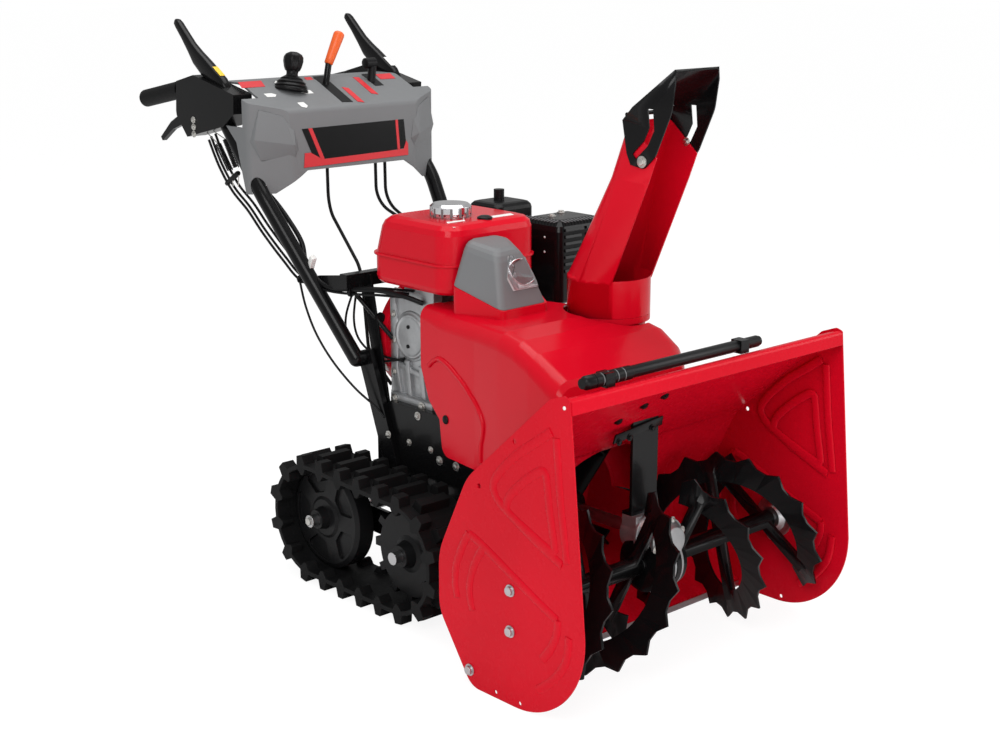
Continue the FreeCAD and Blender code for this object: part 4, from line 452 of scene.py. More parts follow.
def make_slots():
    """A tree that sets a thin block on every seed: Length on its run, Width across, Deep on its aim."""
    g = Grower("louvre", Length=0.03, Width=0.003, Deep=0.002)
    block = g.add("MeshCube", None, g.add("ShaderNodeCombineXYZ", None, g.size("Length"),
                                          g.size("Width"), g.size("Deep")))
    upright = g.add("FunctionNodeAlignRotationToVector", {"axis": "Z"}, Vector=g.point_value("aim"))
    along = g.add("FunctionNodeAlignRotationToVector", {"axis": "X", "pivot_axis": "Z"},
                  Rotation=upright, Vector=g.point_value("run"))
    g.end(g.add("InstanceOnPoints", None, g.seeds, Instance=block, Rotation=along))
    return g


DRAWN = make_drawn()
SPRING = make_spring()
SLOT = make_slots()


def slot_seeds(rows):
    """Seeds for louvres: each row is place, aim and run."""
    mesh = points([(place, aim, 1.0) for place, aim, run in rows])
    note(mesh, "run", "FLOAT_VECTOR", "vector", [tuple(run) for place, aim, run in rows])
    return mesh


class Mould:
    """A mesh that is put together from turned, bent and cut forms, in millimetres."""

    def __init__(self, name):
        self.name, self.work = name, bmesh.new()

    def loops(self, rings):
        """Skin a row of rings of places with the same count, and close both ends."""
        rows = [[self.work.verts.new(Vector(place) * MM) for place in ring] for ring in rings]
        count = len(rows[0])
        for low, high in zip(rows, rows[1:]):
            for i in range(count):
                self.work.faces.new((low[i], low[(i + 1) % count], high[(i + 1) % count], high[i]))
        self.work.faces.new(rows[0][::-1])
        self.work.faces.new(rows[-1])
        return self

    def turned(self, start, direction, profile, steps=32, flutes=(0, 0.0)):
        """Turn a profile of (along, radius) about a line; flutes are their count and depth."""
        turn = Vector((0, 0, 1)).rotation_difference(Vector(direction)).to_matrix()
        rings = []
        count, depth = flutes
        for along, radius in profile:
            ring = []
            for step in range(steps):
                angle = 2 * math.pi * step / steps
                reach = radius * (1 - depth * (1 - math.cos(count * angle)))
                spot = Vector((reach * math.cos(angle), reach * math.sin(angle), along))
                ring.append(Vector(start) + turn @ spot)
            rings.append(ring)
        return self.loops(rings)

    def slab(self, outline, thick):
        """Thicken a flat outline of places along the vector thick."""
        return self.loops([outline, [Vector(place) + Vector(thick) for place in outline]])

    def done(self, body, slot, finish=None, soften=0.0, smooth=40):
        """Turn the work into a plain mesh with edges softened by some millimetres, and keep it."""
        bmesh.ops.remove_doubles(self.work, verts=self.work.verts, dist=1e-6)
        bmesh.ops.recalc_face_normals(self.work, faces=self.work.faces)
        if soften:
            sharp = [e for e in self.work.edges if len(e.link_faces) == 2 and e.calc_face_angle() > 0.5]
            bmesh.ops.bevel(self.work, geom=sharp, offset=soften * MM, segments=2, profile=0.6,
                            affect="EDGES", clamp_overlap=True)
        mesh = bpy.data.meshes.new(self.name)
        self.work.to_mesh(mesh)
        self.work.free()
        mesh.shade_smooth()
        mesh.set_sharp_from_angle(angle=math.radians(smooth))
        piece = bpy.data.objects.new(self.name, mesh)
        bpy.context.scene.collection.objects.link(piece)
        return keep(piece, body, slot, finish or slot)


SKINS = {}


def on_skin(node, place, direction):
    """Where a line from place, in millimetres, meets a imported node, or None."""
    if node not in SKINS:
        mesh = NODES[node].data
        SKINS[node] = BVHTree.FromPolygons([v.co for v in mesh.vertices],
                                           [p.vertices[:] for p in mesh.polygons])
    spot = SKINS[node].ray_cast(Vector(place) * MM, Vector(direction).normalized())[0]
    return spot / MM if spot else None


# ---------------- studio
def make_floor():
    """Pale floor that fades into the white backdrop but keeps the machine's shadow."""
    bpy.ops.mesh.primitive_plane_add(size=60.0, location=(0.0, 0.0, -0.001))
    floor = bpy.context.object
    floor.name = "studio_floor"
    f = Finish("studio_floor", edge=None)
    f.set(Base_Color=(0.90, 0.90, 0.90), Roughness=0.9, Specular_IOR_Level=0.1)
    glow = f.add("Emission", None, (1.0, 1.0, 1.0), 1.12)
    path = f.tree.nodes.new("ShaderNodeLightPath")
    seen = Wire(f, path.outputs["Is Camera Ray"]) * 0.80
    mixed = f.add("MixShader", None, seen, Wire(f, f.shader.outputs[0]), glow)
    output = next(n for n in f.tree.nodes if n.type == "OUTPUT_MATERIAL")
    f.tree.links.new(mixed.socket, output.inputs["Surface"])
    floor.data.materials.append(f.material)


class Surroundings(Net):
    """White to the eye and through clear parts, softer in reflections, gentler still as a lamp."""

    def __init__(self):
        world = bpy.data.worlds.new("studio_world")
        bpy.context.scene.world = world
        world.use_nodes = True
        self.tree = world.node_tree
        path = self.tree.nodes.new("ShaderNodeLightPath")
        rays = [Wire(self, path.outputs[f"Is {kind} Ray"]) for kind in ("Camera", "Transmission", "Glossy")]
        strength = 0.56 + (rays[0] + rays[1]) * 0.44 - rays[2] * 0.12
        background = self.tree.nodes["Background"]
        self.join((1.0, 1.0, 1.0), background.inputs["Color"])
        self.join(strength, background.inputs["Strength"])


def softbox(name, place, target, size, power):
    """A rectangular lamp at place, turned towards target."""
    lamp = bpy.data.lights.new(name, "AREA")
    lamp.shape = "RECTANGLE"
    lamp.size, lamp.size_y = size
    lamp.energy = power
    box = bpy.data.objects.new(name, lamp)
    bpy.context.scene.collection.objects.link(box)
    box.location = place
    box.rotation_euler = (Vector(target) - Vector(place)).to_track_quat("-Z", "Y").to_euler()


def make_studio():
    """Floor, surroundings, four softboxes and the camera."""
    make_floor()
    Surroundings()
    softbox("key_light", (-2.8, -2.2, 3.0), (0.0, -0.1, 0.4), (2.0, 2.0), 70.0)
    softbox("top_light", (0.4, 0.2, 3.4), (0.0, 0.0, 0.5), (2.6, 2.0), 50.0)
    softbox("fill_light", (3.0, -2.4, 1.8), (0.0, -0.2, 0.5), (1.6, 2.0), 32.0)
    softbox("front_light", (-0.9, -3.4, 0.7), (0.0, -0.5, 0.35), (1.6, 0.9), 20.0)
    scene = bpy.context.scene
    scene.view_settings.view_transform = "Standard"
    lens = bpy.data.cameras.new("camera")
    lens.lens, lens.sensor_width = LENS_MM, 36.0
    lens.clip_end = 100.0
    camera = bpy.data.objects.new("camera", lens)
    scene.collection.objects.link(camera)
    camera.location = CAMERA_PLACE
    camera.rotation_euler = (math.pi / 2 - CAMERA_PITCH, 0.0, -CAMERA_YAW)
    scene.camera = camera


make_studio()
dress_frame()


# ---------------- pressed sheet
# Lines of the ribs pressed into both side plates: along and up, in millimetres.
PLATE_RIBS = [
    [(-677, 516), (-640, 490), (-600, 462), (-566, 432), (-545, 408), (-536, 390), (-542, 375), (-556, 362),
     (-590, 344), (-632, 323), (-672, 306), (-704, 293)],
    [(-655, 444), (-636, 433), (-612, 415), (-588, 393), (-574, 376), (-570, 362), (-578, 350), (-632, 327),
     (-676, 311), (-686, 314), (-684, 330), (-674, 380), (-667, 428), (-664, 441), (-655, 444)],
    [(-688, 508), (-693, 460), (-699, 404), (-708, 345), (-715, 300)],
    [(-474, 287), (-462, 270), (-451, 248), (-440, 221), (-436, 199), (-437, 178), (-442, 159)],
    [(-474, 287), (-494, 281), (-514, 273), (-556, 254), (-599, 234), (-650, 211), (-694, 193)],
    [(-514, 273), (-500, 255), (-488, 234), (-478, 208), (-474, 185), (-476, 165), (-482, 147)],
    [(-694, 193), (-695, 176), (-689, 156), (-676, 132), (-658, 111)],
    [(-722, 171), (-718, 134), (-708, 110), (-690, 86), (-668, 66), (-648, 52)],
]


def press_plates():
    """Low ribs on the outer and inner face of both side plates."""
    for side, label in ((-1, "right"), (1, "left")):
        for depth, face in ((PLATE_OUT, "outer"), (PLATE_IN, "inner")):
            plane = side * depth
            lines = [[(plane, along, up) for along, up in path] for path in PLATE_RIBS]
            DRAWN.grow(f"plate_rib_{face}_{label}", strokes(lines), "machine", "red_paint",
                       Radius=0.0085, Plane=plane * MM, Flat=0.24)


# ---------------- bolts
LEFT, RIGHT = (1, 0, 0), (-1, 0, 0)
FORWARD, UP, DOWN = (0, -1, 0), (0, 0, 1), (0, 0, -1)
SHELL_INWARD = (0, -0.67, -0.75)
SHELL_OUTWARD = (0, 0.67, 0.75)


def set_heads(name, tree, rows, body="machine", slot="bare_steel", finish="zinc"):
    """Grow one head on every row of place, aim and size."""
    tree.grow(name, points(rows), body, slot, finish, smooth=30)


def fit_bolts():
    """Bolts and round buttons that show on frame, brackets, plates and wheels."""
    rows = [((-140, along, up), RIGHT, size) for along, up, size in (
        (-42, 311, 5.0), (-109, 310, 5.0), (-136, 294, 6.5), (-186, 294, 6.5), (-70, 372, 6.0))]
    rows += [((-152, 9, 319), RIGHT, 5.5)]
    rows += [((140, along, up), LEFT, size) for along, up, size in (
        (-42, 311, 6.5), (-109, 310, 6.5), (-186, 294, 8.0))]
    set_heads("frame_bolts", HEX_HEAD, rows, slot="black_paint")
    rows = [((side * 251, 529, up), (side, 0, 0), 5.0) for side in (-1, 1) for up in (921, 906, 891)]
    set_heads("bracket_bolts", HEX_HEAD, rows)
    set_heads("stay_bolt", HEX_HEAD, [((-108, 35, 506), RIGHT, 9.0)])
    set_heads("hood_bolt", ROUND_HEAD, [((-178, -199, 399), (-1, 0.12, 0), 9.0)],
              slot="black_plastic", finish="black_plastic")
    rows = [((side * (PLATE_IN - 6), -580, up), (-side, 0, 0), 7.0)
            for side in (-1, 1) for up in (212.5, 137.5)]
    set_heads("bearing_nuts", HEX_HEAD, rows)
    spots = [on_skin("housing_shell", place, SHELL_OUTWARD) for place in (
        (-68, -650, 446), (-33, -667, 461), (-98, -622, 410))]
    set_heads("stay_nuts", HEX_HEAD, [(spot, SHELL_INWARD, 6.0) for spot in spots],
              slot="black_paint", finish="black_paint")
    rows = [((side * PLATE_OUT, -706, 562), (side, 0, 0), 3.5) for side in (-1, 1)]
    set_heads("corner_rivets", ROUND_HEAD, rows, slot="red_paint", finish="white_plate")
    rows = []
    for side, node in ((-1, "idler_right"), (1, "idler_left")):
        low, high = (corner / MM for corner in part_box(node))
        centre = (low + high) / 2
        rows.append(((side * 281, centre.y, centre.z), (side, 0, 0), 9.0))
    set_heads("hub_bolts", HEX_HEAD, rows, body="undercarriage")


# ---------------- hood
def trim_hood():
    """The long pressed step down the hood's right side."""
    path = [(-142, 494), (-160, 508), (-180, 515), (-210, 508), (-242, 493), (-264, 481), (-283, 467),
            (-306, 450), (-322, 432), (-328, 418), (-326, 400), (-320, 378), (-318, 345)]
    spots = [on_skin("front_cover", (-420, along, up), LEFT) for along, up in path]
    DRAWN.grow("hood_step", strokes([[spot for spot in spots if spot]]), "machine", "red_plastic",
               Radius=0.005)


# ---------------- console
CONSOLE_UP = Vector((0, -0.40, 0.917))
CONSOLE_BACK = Vector((0, 0.917, 0.40))
CONSOLE_FACE = Vector((0, -1.0, 0.05)).normalized()


def tilted(place, across, along, corners):
    """Places of a flat outline round place, from pairs across and along."""
    across, along = Vector(across).normalized(), Vector(along).normalized()
    return [Vector(place) + across * u + along * v for u, v in corners]


def console_label(name, spot, corners, finish, lift=0.8, thick=0.6):
    """A thin blank plate on the console's sloping top."""
    place = on_skin("console", (*spot, 1040), DOWN) + CONSOLE_UP * (lift - thick)
    outline = tilted(place, LEFT, CONSOLE_BACK, corners)
    Mould(name).slab(outline, CONSOLE_UP * thick).done("machine", "grey_plastic", finish)


def on_console_face(corners):
    """Places on the console's front, from pairs across and up."""
    return [on_skin("console", (x, 200, z), (0, 1, 0)) + CONSOLE_FACE * 0.3 for x, z in corners]


def dress_console():
    """Blank decals, badge field, slots and pads of the control panel."""
    marker = [(-13, -9), (9, -10), (17, 0), (8, 9), (-13, 9)]
    for number, (x, y, turn) in enumerate((
            (-172, 357, 0), (-76, 359, 180), (-120, 398, 90), (-122, 312, 270))):
        c, s = math.cos(math.radians(turn)), math.sin(math.radians(turn))
        corners = [((u * c - v * s) * 0.9, (u * s + v * c) * 0.8) for u, v in marker]
        console_label(f"joystick_marker_{number}", (x, y), corners, "white_plate")
    for name, spot, corners in (
            ("console_decal_right", (-186, 404), [(-32, -14), (26, -14), (32, 12), (-26, 12)]),
            ("shift_gate", (-6, 362), [(-15, -56), (12, -58), (17, 62), (-12, 62)]),
            ("shift_scale", (26, 356), [(-8, -52), (6, -58), (10, 8), (-4, 14)]),
            ("shift_note", (-32, 412), [(-10, -8), (8, -8), (10, 8), (-8, 8)]),
            ("throttle_gate", (123, 392), [(-12, -30), (12, -30), (14, 26), (-10, 26)]),
            ("throttle_scale", (86, 372), [(-9, -40), (6, -46), (10, 34), (-5, 36)]),
            ("throttle_note", (168, 402), [(-22, -14), (20, -14), (22, 10), (-20, 10)])):
        gate = name.endswith("gate")
        console_label(name, spot, corners, "black_plastic" if gate else "decal_red", 0.6 if gate else 0.8)
    field = on_console_face([(-140, 912), (132, 914), (136, 852), (-121, 838), (-118, 860)])
    Mould("badge_field").slab(field, CONSOLE_FACE * 0.5).done("machine", "black_plastic", "black_paint")
    for name, corners in (
            ("badge_frame", [(-140, 832), (140, 836), (141, 860), (136, 868), (128, 850), (-92, 846),
                             (-121, 862), (-136, 862)]),
            ("badge_bar_right", [(-124, 912), (-114, 912), (-86, 846), (-96, 846)]),
            ("badge_bar_left", [(108, 914), (115, 914), (118, 850), (111, 850)])):
        band = Mould(name).slab(on_console_face(corners), CONSOLE_FACE * 0.9)
        band.done("machine", "grey_plastic", "decal_red")


def dress_controls():
    """Springs, joiner and blank labels round the levers."""
    for name, place, aim in (("clutch_spring_front", (-232, 439, 886), (0, -45, -69)),
                             ("clutch_spring_rear", (-232, 468, 874), (0, -48, -59))):
        SPRING.grow(name, points([(place, aim, 1)]), "machine", "black_paint",
                    Turns=17.0, Length=0.066, Radius=0.0055, Wire_Radius=0.0013)
    run = Vector((0, 48, -29)).normalized()
    start = Vector((-232, 418, 806)) - run * 27
    joiner = Mould("cable_joiner").turned(start, run, [(0, 4.6), (3, 5.6), (51, 5.6), (54, 4.6)])
    joiner.done("machine", "black_plastic")
    for name, node, middle, finish in (
            ("lever_label_right", "paddle_right", -HANDLE_HALF, "yellow_plate"),
            ("lever_label_left", "paddle_left", HANDLE_HALF, "white_plate")):
        spots = [on_skin(node, (middle + x, y, 1160), DOWN) + Vector((0, -0.3, 0.5))
                 for x, y in ((-6, 474), (6, 474), (6, 446), (-6, 446))]
        Mould(name).slab(spots, Vector((0, -0.4, 0.7))).done("machine", "black_plastic", finish)


# Middle line of a clutch paddle: y, z, half its height and half its width.
PADDLE_LINE = [(427, 986, 3, 5), (431, 988, 8, 9), (446.8, 1001.2, 13, 11), (472.9, 1012.5, 17, 12),
               (504.9, 1029.8, 19, 12), (536, 1050, 17, 11), (558, 1070, 12.5, 9.5), (582, 1094, 10, 9),
               (604, 1115, 9, 8.5), (612, 1121.5, 7.5, 7.5), (615.5, 1125.1, 4, 4.5)]
PADDLE_SIDES = 20
PADDLE_SQUARE = 0.6


def make_paddles():
    """Clutch paddles, moulded round and narrowing towards their free ends."""
    last = len(PADDLE_LINE) - 1
    for side, node in ((-1, "paddle_right"), (1, "paddle_left")):
        rings = []
        for number, (back, height, tall, wide) in enumerate(PADDLE_LINE):
            before, after = PADDLE_LINE[max(number - 1, 0)], PADDLE_LINE[min(number + 1, last)]
            run = Vector((0, after[0] - before[0], after[1] - before[1])).normalized()
            up = Vector((0, -run.z, run.y))
            ring = []
            for step in range(PADDLE_SIDES):
                turn = 2 * math.pi * step / PADDLE_SIDES
                across, along = (math.copysign(abs(part) ** PADDLE_SQUARE, part)
                                 for part in (math.cos(turn), math.sin(turn)))
                spot = Vector((side * HANDLE_HALF + wide * across, back, height))
                ring.append(spot + up * tall * along)
            rings.append(ring)
        paddle = Mould(f"{node}_moulded").loops(rings)
        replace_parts(paddle.done("machine", "black_paint", smooth=60), node)


# ---------------- engine
RECOIL_HEIGHT = 498
MUFFLER_TOP = 741
CAP_FLUTES = 14


def dress_tank():
    """Knob, blank labels, and grey marks round the cap that paint the shade of its notched flutes."""
    knob = Mould("fuel_knob")
    knob.turned((-30, -148, 762), UP, [(0, 12), (3, 15), (7, 15), (10, 9), (10.5, 0.5)])
    knob.done("machine", "black_plastic")
    for name, corners in (("tank_label_right", [(-128, -168), (-84, -168), (-74, -138), (-118, -136)]),
                          ("tank_label_left", [(-14, -168), (44, -168), (44, -142), (-10, -142)])):
        spots = [on_skin("fuel_tank", (x, y, 900), DOWN) + Vector((0, 0, 0.4)) for x, y in corners]
        middle = sum(spots, Vector()) / 4
        outline = [Vector((s.x, s.y, middle.z + (s.y - middle.y) * 0.18)) for s in spots]
        Mould(name).slab(outline, (0, 0, 0.5)).done("machine", "red_plastic", "white_plate")
    low, high = (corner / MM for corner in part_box("fuel_cap"))
    middle = (low + high) / 2
    middle.z = low.z + (high.z - low.z) * 0.42
    reach = (high.x - low.x) / 2 - 0.6
    flutes = []
    for number in range(CAP_FLUTES):
        turn = 2 * math.pi * number / CAP_FLUTES
        facing = Vector((math.cos(turn), math.sin(turn), 0))
        flutes.append((middle + facing * reach, facing, UP))
    # Grey blocks on the silver cap: their darker colour paints the shade in the cap's notched flutes.
    SLOT.grow("cap_flute_shade", slot_seeds(flutes), "machine", "bare_steel", "grey_plastic",
              Length=0.017, Width=0.005, Deep=0.0016)


def dress_muffler():
    """Louvres, slots, bolts and screws of the muffler's shield."""
    rows = [((x, -176.5, z), (0, -1, 0.25), LEFT) for x in (185, 245) for z in range(640, 726, 14)]
    SLOT.grow("muffler_louvres", slot_seeds(rows), "machine", "black_paint",
              Length=0.046, Width=0.006, Deep=0.005)
    rows = [((x, -168, MUFFLER_TOP - 0.4), (0, -0.2, 1), (0, 1, 0)) for x in range(166, 270, 9)]
    rows += [((154, y, MUFFLER_TOP - 0.4), (-0.2, 0, 1), LEFT) for y in range(-158, -50, 9)]
    SLOT.grow("muffler_slots", slot_seeds(rows), "machine", "black_paint", "grey_plastic",
              Length=0.014, Width=0.0022, Deep=0.0012)
    rows = [((190, -110, MUFFLER_TOP + 1), UP, 6), ((238, -88, MUFFLER_TOP + 1), UP, 6)]
    set_heads("muffler_bolts", HEX_HEAD, rows)
    rows = [((146, -134, up), RIGHT, 2.5) for up in (707, 677)]
    set_heads("muffler_screws", ROUND_HEAD, rows, slot="black_paint", finish="white_plate")


def dress_recoil():
    """Button and blank labels of the starter's cover, and the plug of the harness."""
    facing = Vector((-0.93, 0, 0.37))
    button = Vector((0, 76, RECOIL_HEIGHT)) + facing.normalized() * 121.5
    set_heads("recoil_button", DISC_HEAD, [(button, facing, 12.0)], slot="black_plastic",
              finish="black_plastic")
    for name, turn, wide in (("recoil_label_top", 128, 10), ("recoil_label_low", 208, 9)):
        facing = Vector((math.cos(math.radians(turn)), 0, math.sin(math.radians(turn))))
        across = Vector((-facing.z, 0, facing.x))
        spot = on_skin("recoil_cover", Vector((0, 74, RECOIL_HEIGHT)) + facing * 180, -facing)
        outline = tilted(spot - facing * 0.2, across, (0, 1, 0),
                         [(-wide, -10), (wide, -10), (wide, 12), (-wide, 12)])
        Mould(name).slab(outline, facing * 0.7).done("machine", "red_plastic", "white_plate")
    outline = tilted((-194, 202, 656), (0.95, 0.3, 0), (0.1, 0.5, -0.86),
                     [(-8, -14), (8, -14), (8, 12), (5, 16), (-5, 16), (-8, 12)])
    plug = Mould("harness_plug").slab(outline, (-2, -12, -6))
    plug.done("machine", "grey_plastic", "white_plate", soften=1.5)


# ---------------- lamp
LAMP_OUT = Vector((0.05, -0.88, 0.47)).normalized()


def make_lamp():
    """Clear lens, eight-sided rim and a flat dark red disc on the face of the cowl, whose colour paints the
    shade of the lamp's hollow.
    """
    def lifted(corners, lift):
        return [on_skin("headlight_cowl", Vector(corner) + LAMP_OUT * 60, -LAMP_OUT) + LAMP_OUT * lift
                for corner in corners]

    rim = [(-53, -268, 704), (-22, -265, 700), (-11, -270, 682), (-31, -278, 661), (-62, -284, 656),
           (-84, -282, 673), (-88, -277, 693), (-72, -270, 702)]
    glass = [(-80, -268, 714), (-22, -263, 709), (-12, -275, 665), (-26, -283, 648), (-88, -290, 651),
             (-97, -284, 675)]
    # The second layer is a flat dark red disc whose colour paints the shade inside the lamp.
    for name, outline in (("lamp_back", lifted(glass, 0.3)), ("lamp_bowl_painted_shade", lifted(rim, 1.2))):
        finish = "lamp_silver" if name == "lamp_back" else name
        Mould(name).slab(outline, LAMP_OUT * 0.8).done("machine", "clear_lens", finish)
    around = lifted(rim, 2.4)
    DRAWN.grow("lamp_rim", strokes([around + around[:1]]), "machine", "clear_lens", "chrome",
               Radius=0.0016)
    lens = Mould("lamp_lens").slab(lifted(glass, 4.0), LAMP_OUT * 3.0)
    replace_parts(lens.done("machine", "clear_lens", soften=1.2), "headlight_lens")


# ---------------- engine side
# Raised flats of the casting: how thick, and their corners back and up.
CASTING_FLATS = [
    (7, [(44, 600), (30, 600), (22, 520), (24, 450), (8, 384), (44, 384)]),
    (18, [(34, 376), (-96, 376), (-96, 398), (34, 398)]),
    (9, [(-2, 470), (-14, 470), (-22, 398), (-6, 398)]),
    (9, [(-44, 466), (-56, 462), (-66, 398), (-52, 398)]),
    (6, [(20, 462), (-70, 446), (-70, 436), (20, 450)]),
]


def dress_crankcase():
    """Cast cover, ribs, foot and bolts on the engine's right side, and the handles' steady bar."""
    case = Mould("crankcase_cover")
    case.turned((ENGINE_SIDE, -17, 521), RIGHT, [(0, 52), (4, 51), (5, 46), (8, 45), (9, 41), (7, 38),
                                                 (8, 20), (9, 4)], steps=40)
    for thick, corners in CASTING_FLATS:
        case.slab([(ENGINE_SIDE, along, up) for along, up in corners], (-thick, 0, 0))
    case.done("machine", "cast_aluminium", soften=2.5, smooth=50)
    rows = [((-115, -13, 540), RIGHT, 4.0), ((-115, -12, 500), RIGHT, 4.0)]
    set_heads("crankcase_plugs", DISC_HEAD, rows, slot="black_plastic", finish="black_plastic")
    rows = [((-115, 34, 560), RIGHT, 5), ((-115, 34, 440), RIGHT, 5), ((-126, 20, 387), RIGHT, 7),
            ((-126, -66, 387), RIGHT, 7)]
    set_heads("crankcase_bolts", HEX_HEAD, rows)
    DRAWN.grow("steady_bar", strokes([[(-150, 108, 592), (-132, 72, 550), (-114, 38, 508)]]), "machine",
               "black_paint", Radius=0.0048)


# ---------------- cables
LEVER_CABLE = [(-236, 496, 880), (-238, 458, 828), (-233, 420, 780), (-224, 378, 742), (-219, 332, 698),
               (-210, 276, 648), (-203, 228, 613), (-190, 160, 600), (-173, 98, 599), (-152, 36, 603),
               (-128, -26, 604)]
WIRING_SLEEVE = [(-214, 366, 806), (-197, 322, 768), (-190, 276, 726), (-187, 240, 686), (-192, 216, 640),
                 (-188, 156, 608), (-171, 98, 608), (-150, 36, 612), (-138, -22, 609), (-116, -62, 596)]
ENGINE_CABLES = [
    [(-152, 118, 596), (-152, 142, 545), (-151, 143, 505), (-146, 126, 472), (-130, 84, 455),
     (-118, 30, 464), (-112, 4, 472)],
    [(-148, 112, 596), (-146, 124, 540), (-142, 116, 500), (-132, 88, 474), (-122, 46, 468),
     (-112, 6, 466)],
]
DRIVE_CABLE = [(-205, 226, 610), (-205, 208, 560), (-200, 180, 505), (-190, 138, 452), (-174, 88, 404),
               (-158, 44, 372), (-152, 22, 352)]
SPRING_WIRES = [
    [(-232, 492, 902), (-232, 439, 886)], [(-232, 512, 896), (-232, 468, 874)],
    [(-232, 394, 817), (-231, 400, 790)], [(-232, 420, 815), (-234, 414, 790)],
]


def lay_cables():
    """Sheathed control cables and wiring along the right handle tube, held by it all the way."""
    lever_cables = [[(x + a, y + b, z + c) for x, y, z in LEVER_CABLE]
                    for a, b, c in ((0, 0, 0), (9, 5, 6), (14, -4, 12))]
    for name, paths, smooth, radius in (
            ("lever_cables", lever_cables, 60, 0.0027), ("wiring_sleeve", [WIRING_SLEEVE], 35, 0.0052),
            ("engine_cables", ENGINE_CABLES, 35, 0.0024), ("drive_cable", [DRIVE_CABLE], 35, 0.0024)):
        DRAWN.grow(name, strokes(paths), "machine", "black_rubber", "black_plastic", smooth=smooth,
                   Radius=radius)
    DRAWN.grow("spring_wires", strokes(SPRING_WIRES), "machine", "bare_steel", "zinc", Radius=0.001)
    for number, (place, run, reach) in enumerate((((-201, 224, 616), (-0.2, -0.6, -0.4), 11),
                                                  ((-172, 98, 603), (0.2, -1, 0), 10))):
        run = Vector(run).normalized()
        tie = Mould(f"cable_tie_{number}")
        tie.turned(Vector(place) - run * 3, run, [(0, reach - 1), (1, reach), (6, reach), (7, reach - 1)])
        tie.done("machine", "black_plastic")


# ---------------- levers
def make_joystick():
    """Bellows boot and fluted knob of the chute's joystick."""
    foot, top = Vector((-104, 380, 981)), Vector((-86, 388, 1062))
    run = (top - foot).normalized()
    knob = Mould("joystick_knob")
    knob.turned(foot, run, [(0, 36), (3, 37.5), (7, 35), (9, 33), (11, 35), (15, 32), (17, 29), (19, 31),
                            (23, 27), (25, 23), (27, 24), (31, 18), (34, 13), (38, 12), (44, 13)], steps=40)
    knob.turned(foot + run * 42, run, [(0, 12), (3, 16), (10, 19), (22, 21.5), (31, 21), (37, 17), (41, 9),
                                       (42, 2)], steps=48, flutes=(8, 0.045))
    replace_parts(knob.done("machine", "black_plastic", smooth=60), "joystick")


def make_shift():
    """Shift lever with its slim bright grip, and the knob of the throttle."""
    foot, knee, top = Vector((-8, 388, 978)), Vector((4, 388, 1036)), Vector((36, 388, 1100))
    lever = Mould("shift_bar")
    lever.turned(foot, (knee - foot).normalized(), [(0, 6.5), (2, 7), (58, 7), (62, 5)], steps=20)
    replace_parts(lever.done("machine", "black_paint"), "shift_lever")
    run = (top - knee).normalized()
    grip = Mould("shift_handle")
    grip.turned(knee - run * 3, run, [(0, 8), (1.5, 9.5), (14, 10), (40, 11), (66, 12), (71, 11), (74, 7),
                                      (75, 2)], steps=28)
    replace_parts(grip.done("machine", "orange_plastic", smooth=60), "shift_grip")
    knob = Mould("throttle_knob")
    knob.turned((101, 389, 1030), LEFT, [(0, 9), (2, 11.5), (28, 11.5), (30, 9)], steps=24)
    knob.done("machine", "black_plastic")


# ---------------- console wings
def make_wings():
    """Raised facets on both wings of the control panel."""
    base = [(-226, 322, 956), (-181, 301, 941), (-159, 294, 911), (-150, 292, 872), (-158, 292, 854),
            (-224, 322, 849), (-244, 334, 890)]
    tops = [(-240, 321, 894), (-166, 282, 882)]
    for side, label in ((1, "right"), (-1, "left")):
        wing = Mould(f"console_facet_{label}")
        corners = [wing.work.verts.new(Vector((x * side, y, z)) * MM) for x, y, z in base + tops]
        for face in ((0, 1, 8, 7), (1, 2, 8), (2, 3, 8), (3, 4, 8), (4, 5, 7, 8), (5, 6, 7), (6, 0, 7),
                     (6, 5, 4, 3, 2, 1, 0)):
            wing.work.faces.new([corners[number] for number in face])
        wing.done("machine", "grey_plastic", soften=1.2, smooth=12)


# ---------------- front end
BARREL_RINGS = 4
CASE_BOLTS = 6


def make_barrel():
    """Black ringed barrel round the worm wheel."""
    low, high = (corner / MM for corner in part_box("gearbox"))
    shaft_low, shaft_high = (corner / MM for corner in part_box("auger_shaft"))
    axis = Vector((0, (shaft_low.y + shaft_high.y) / 2, (shaft_low.z + shaft_high.z) / 2))
    half, reach = (high.x - low.x) / 2, axis.z - low.z
    pitch = 2 * half / BARREL_RINGS
    profile = [(0, reach - 13)]
    for ring in range(BARREL_RINGS):
        start, outer = ring * pitch, ring in (0, BARREL_RINGS - 1)
        groove, crest = reach - 3 - 3 * outer, reach + 1.5 - 4 * outer
        profile += [(start + 2, groove), (start + 3.5, crest), (start + pitch - 3, crest),
                    (start + pitch - 1, groove)]
    profile += [(2 * half, reach - 13)]
    barrel = Mould("gear_barrel").turned(axis - Vector((half, 0, 0)), LEFT, profile, steps=56)
    barrel.done("machine", "black_paint", smooth=50)


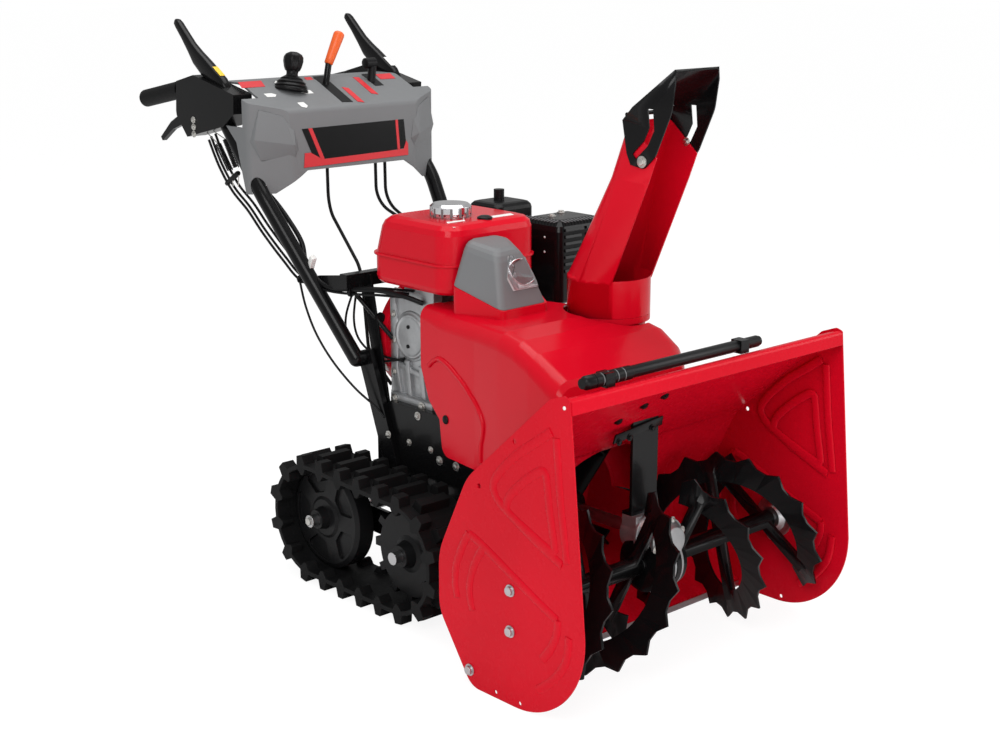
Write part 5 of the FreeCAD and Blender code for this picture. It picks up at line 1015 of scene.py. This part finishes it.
def dress_gearbox():
    """Collars, bolts and blank plate of the alloy case."""
    low, high = (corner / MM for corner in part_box("gearbox"))
    shaft_low, shaft_high = (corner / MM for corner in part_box("impeller_shaft"))
    height = (shaft_low.z + shaft_high.z) / 2
    flange = high.z - height
    collar = Mould("gearbox_collar")
    for along, wide in ((20, 3), (34, 2), (62, 4)):
        profile = [(0, flange - 6), (1.5, flange + wide), (8, flange + wide), (9.5, flange - 6)]
        collar.turned((0, low.y + along, height), (0, 1, 0), profile, steps=40)
    collar.done("machine", "cast_aluminium", smooth=50)
    rows = []
    for number in range(CASE_BOLTS):
        turn = 2 * math.pi * number / CASE_BOLTS + 0.3
        place = (flange * math.cos(turn), low.y + 19.5, height + flange * math.sin(turn))
        rows.append((place, FORWARD, 5.0))
    set_heads("gearbox_bolts", HEX_HEAD, rows, slot="cast_aluminium")
    facing = Vector((-0.7, 0, 0.7))
    spot = Vector((0, (low.y + high.y) / 2 - 6, height)) + facing * (flange + 0.6)
    outline = tilted(spot, (0, 1, 0), (0.7, 0, 0.7), [(-15, -7), (13, -7), (17, 0), (13, 7), (-15, 7)])
    Mould("gearbox_plate").slab(outline, facing * 0.8).done("machine", "cast_aluminium", "white_plate")


def dress_stay():
    """Bracket and bolts that hold the gearbox stay to the shell."""
    low, high = (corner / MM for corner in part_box("gearbox_stay"))
    face = Vector(FORWARD)
    head = on_skin("housing_shell", Vector((0, low.y - 1, 400)), UP)
    outline = tilted(head, LEFT, UP, [(-84, -14), (-90, -30), (high.x + 5, -18), (high.x + 8, -2)])
    Mould("stay_bracket").slab(outline, face * 4.0).done("machine", "black_paint", soften=0.8)
    rows = [(head + face * 4.0 + Vector((along, 0, along * 0.1 - 20)), face, 5.0)
            for along in (-76, -48, 12)]
    set_heads("stay_bolts", HEX_HEAD, rows, slot="black_paint", finish="black_paint")


TOOL_START = Vector((-307, -690, 589))
GRIP_RINGS = 5
RING_PITCH = 17
FIRST_RING = 24


def dress_tool():
    """Grip of the clearing tool, with its grooves and pale rings."""
    profile = [(0, 3), (2, 9), (8, 12.2)]
    for ring in range(GRIP_RINGS):
        start = FIRST_RING + ring * RING_PITCH
        profile += [(start - 0.4, 12.2), (start, 11.0), (start + 2.2, 11.0), (start + 2.6, 12.2)]
    profile += [(112, 12.2), (113, 10.6), (446, 10.6), (450, 8), (451, 2)]
    grip = Mould("clearing_grip").turned(TOOL_START, LEFT, profile, steps=28)
    grip.done("machine", "black_plastic", smooth=50)
    rows = [(TOOL_START + Vector((FIRST_RING + ring * RING_PITCH + 0.5, 0, 0)), LEFT, 11.6)
            for ring in range(1, GRIP_RINGS)]
    set_heads("clearing_rings", DISC_HEAD, rows, slot="black_plastic", finish="grey_plastic")


def dress_chute():
    """Bolts in the slots of the deflector's cheeks."""
    low, high = (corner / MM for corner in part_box("deflector"))
    rows = [((low.x - 0.2, -500, 903), RIGHT, 7.5), ((high.x + 0.2, -500, 903), LEFT, 7.5),
            ((147.5, -504, 931), RIGHT, 5.5)]
    set_heads("cheek_bolts", HEX_HEAD, rows, body="chute")


def smooth_sheets():
    """Ribbons, blades and bent sheets again, each shaded as one smooth surface."""
    slots = {row["node"]: row["material_slot"] for row in frame["record"]["subparts"]}
    for node in ("auger_right", "auger_left", "impeller", "chute", "deflector", "housing_shell"):
        piece = bpy.data.objects.new(f"{node}_smooth", NODES[node].data.copy())
        bpy.context.scene.collection.objects.link(piece)
        work = bmesh.new()
        work.from_mesh(piece.data)
        bmesh.ops.remove_doubles(work, verts=work.verts, dist=WELD_REACH)
        work.to_mesh(piece.data)
        work.free()
        piece.data.shade_smooth()
        piece.data.set_sharp_from_angle(angle=math.radians(CREASE_DEGREES))
        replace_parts(keep(piece, NODES[node]["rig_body"], slots[node], slots[node]), node)


press_plates()
fit_bolts()
trim_hood()
dress_console()
dress_controls()
make_paddles()
dress_tank()
dress_muffler()
dress_recoil()
make_lamp()
dress_crankcase()
lay_cables()
make_joystick()
make_shift()
make_wings()
make_barrel()
dress_gearbox()
dress_stay()
dress_tool()
dress_chute()
smooth_sheets()

# ---------------- last update of the scene
bpy.context.view_layer.update()
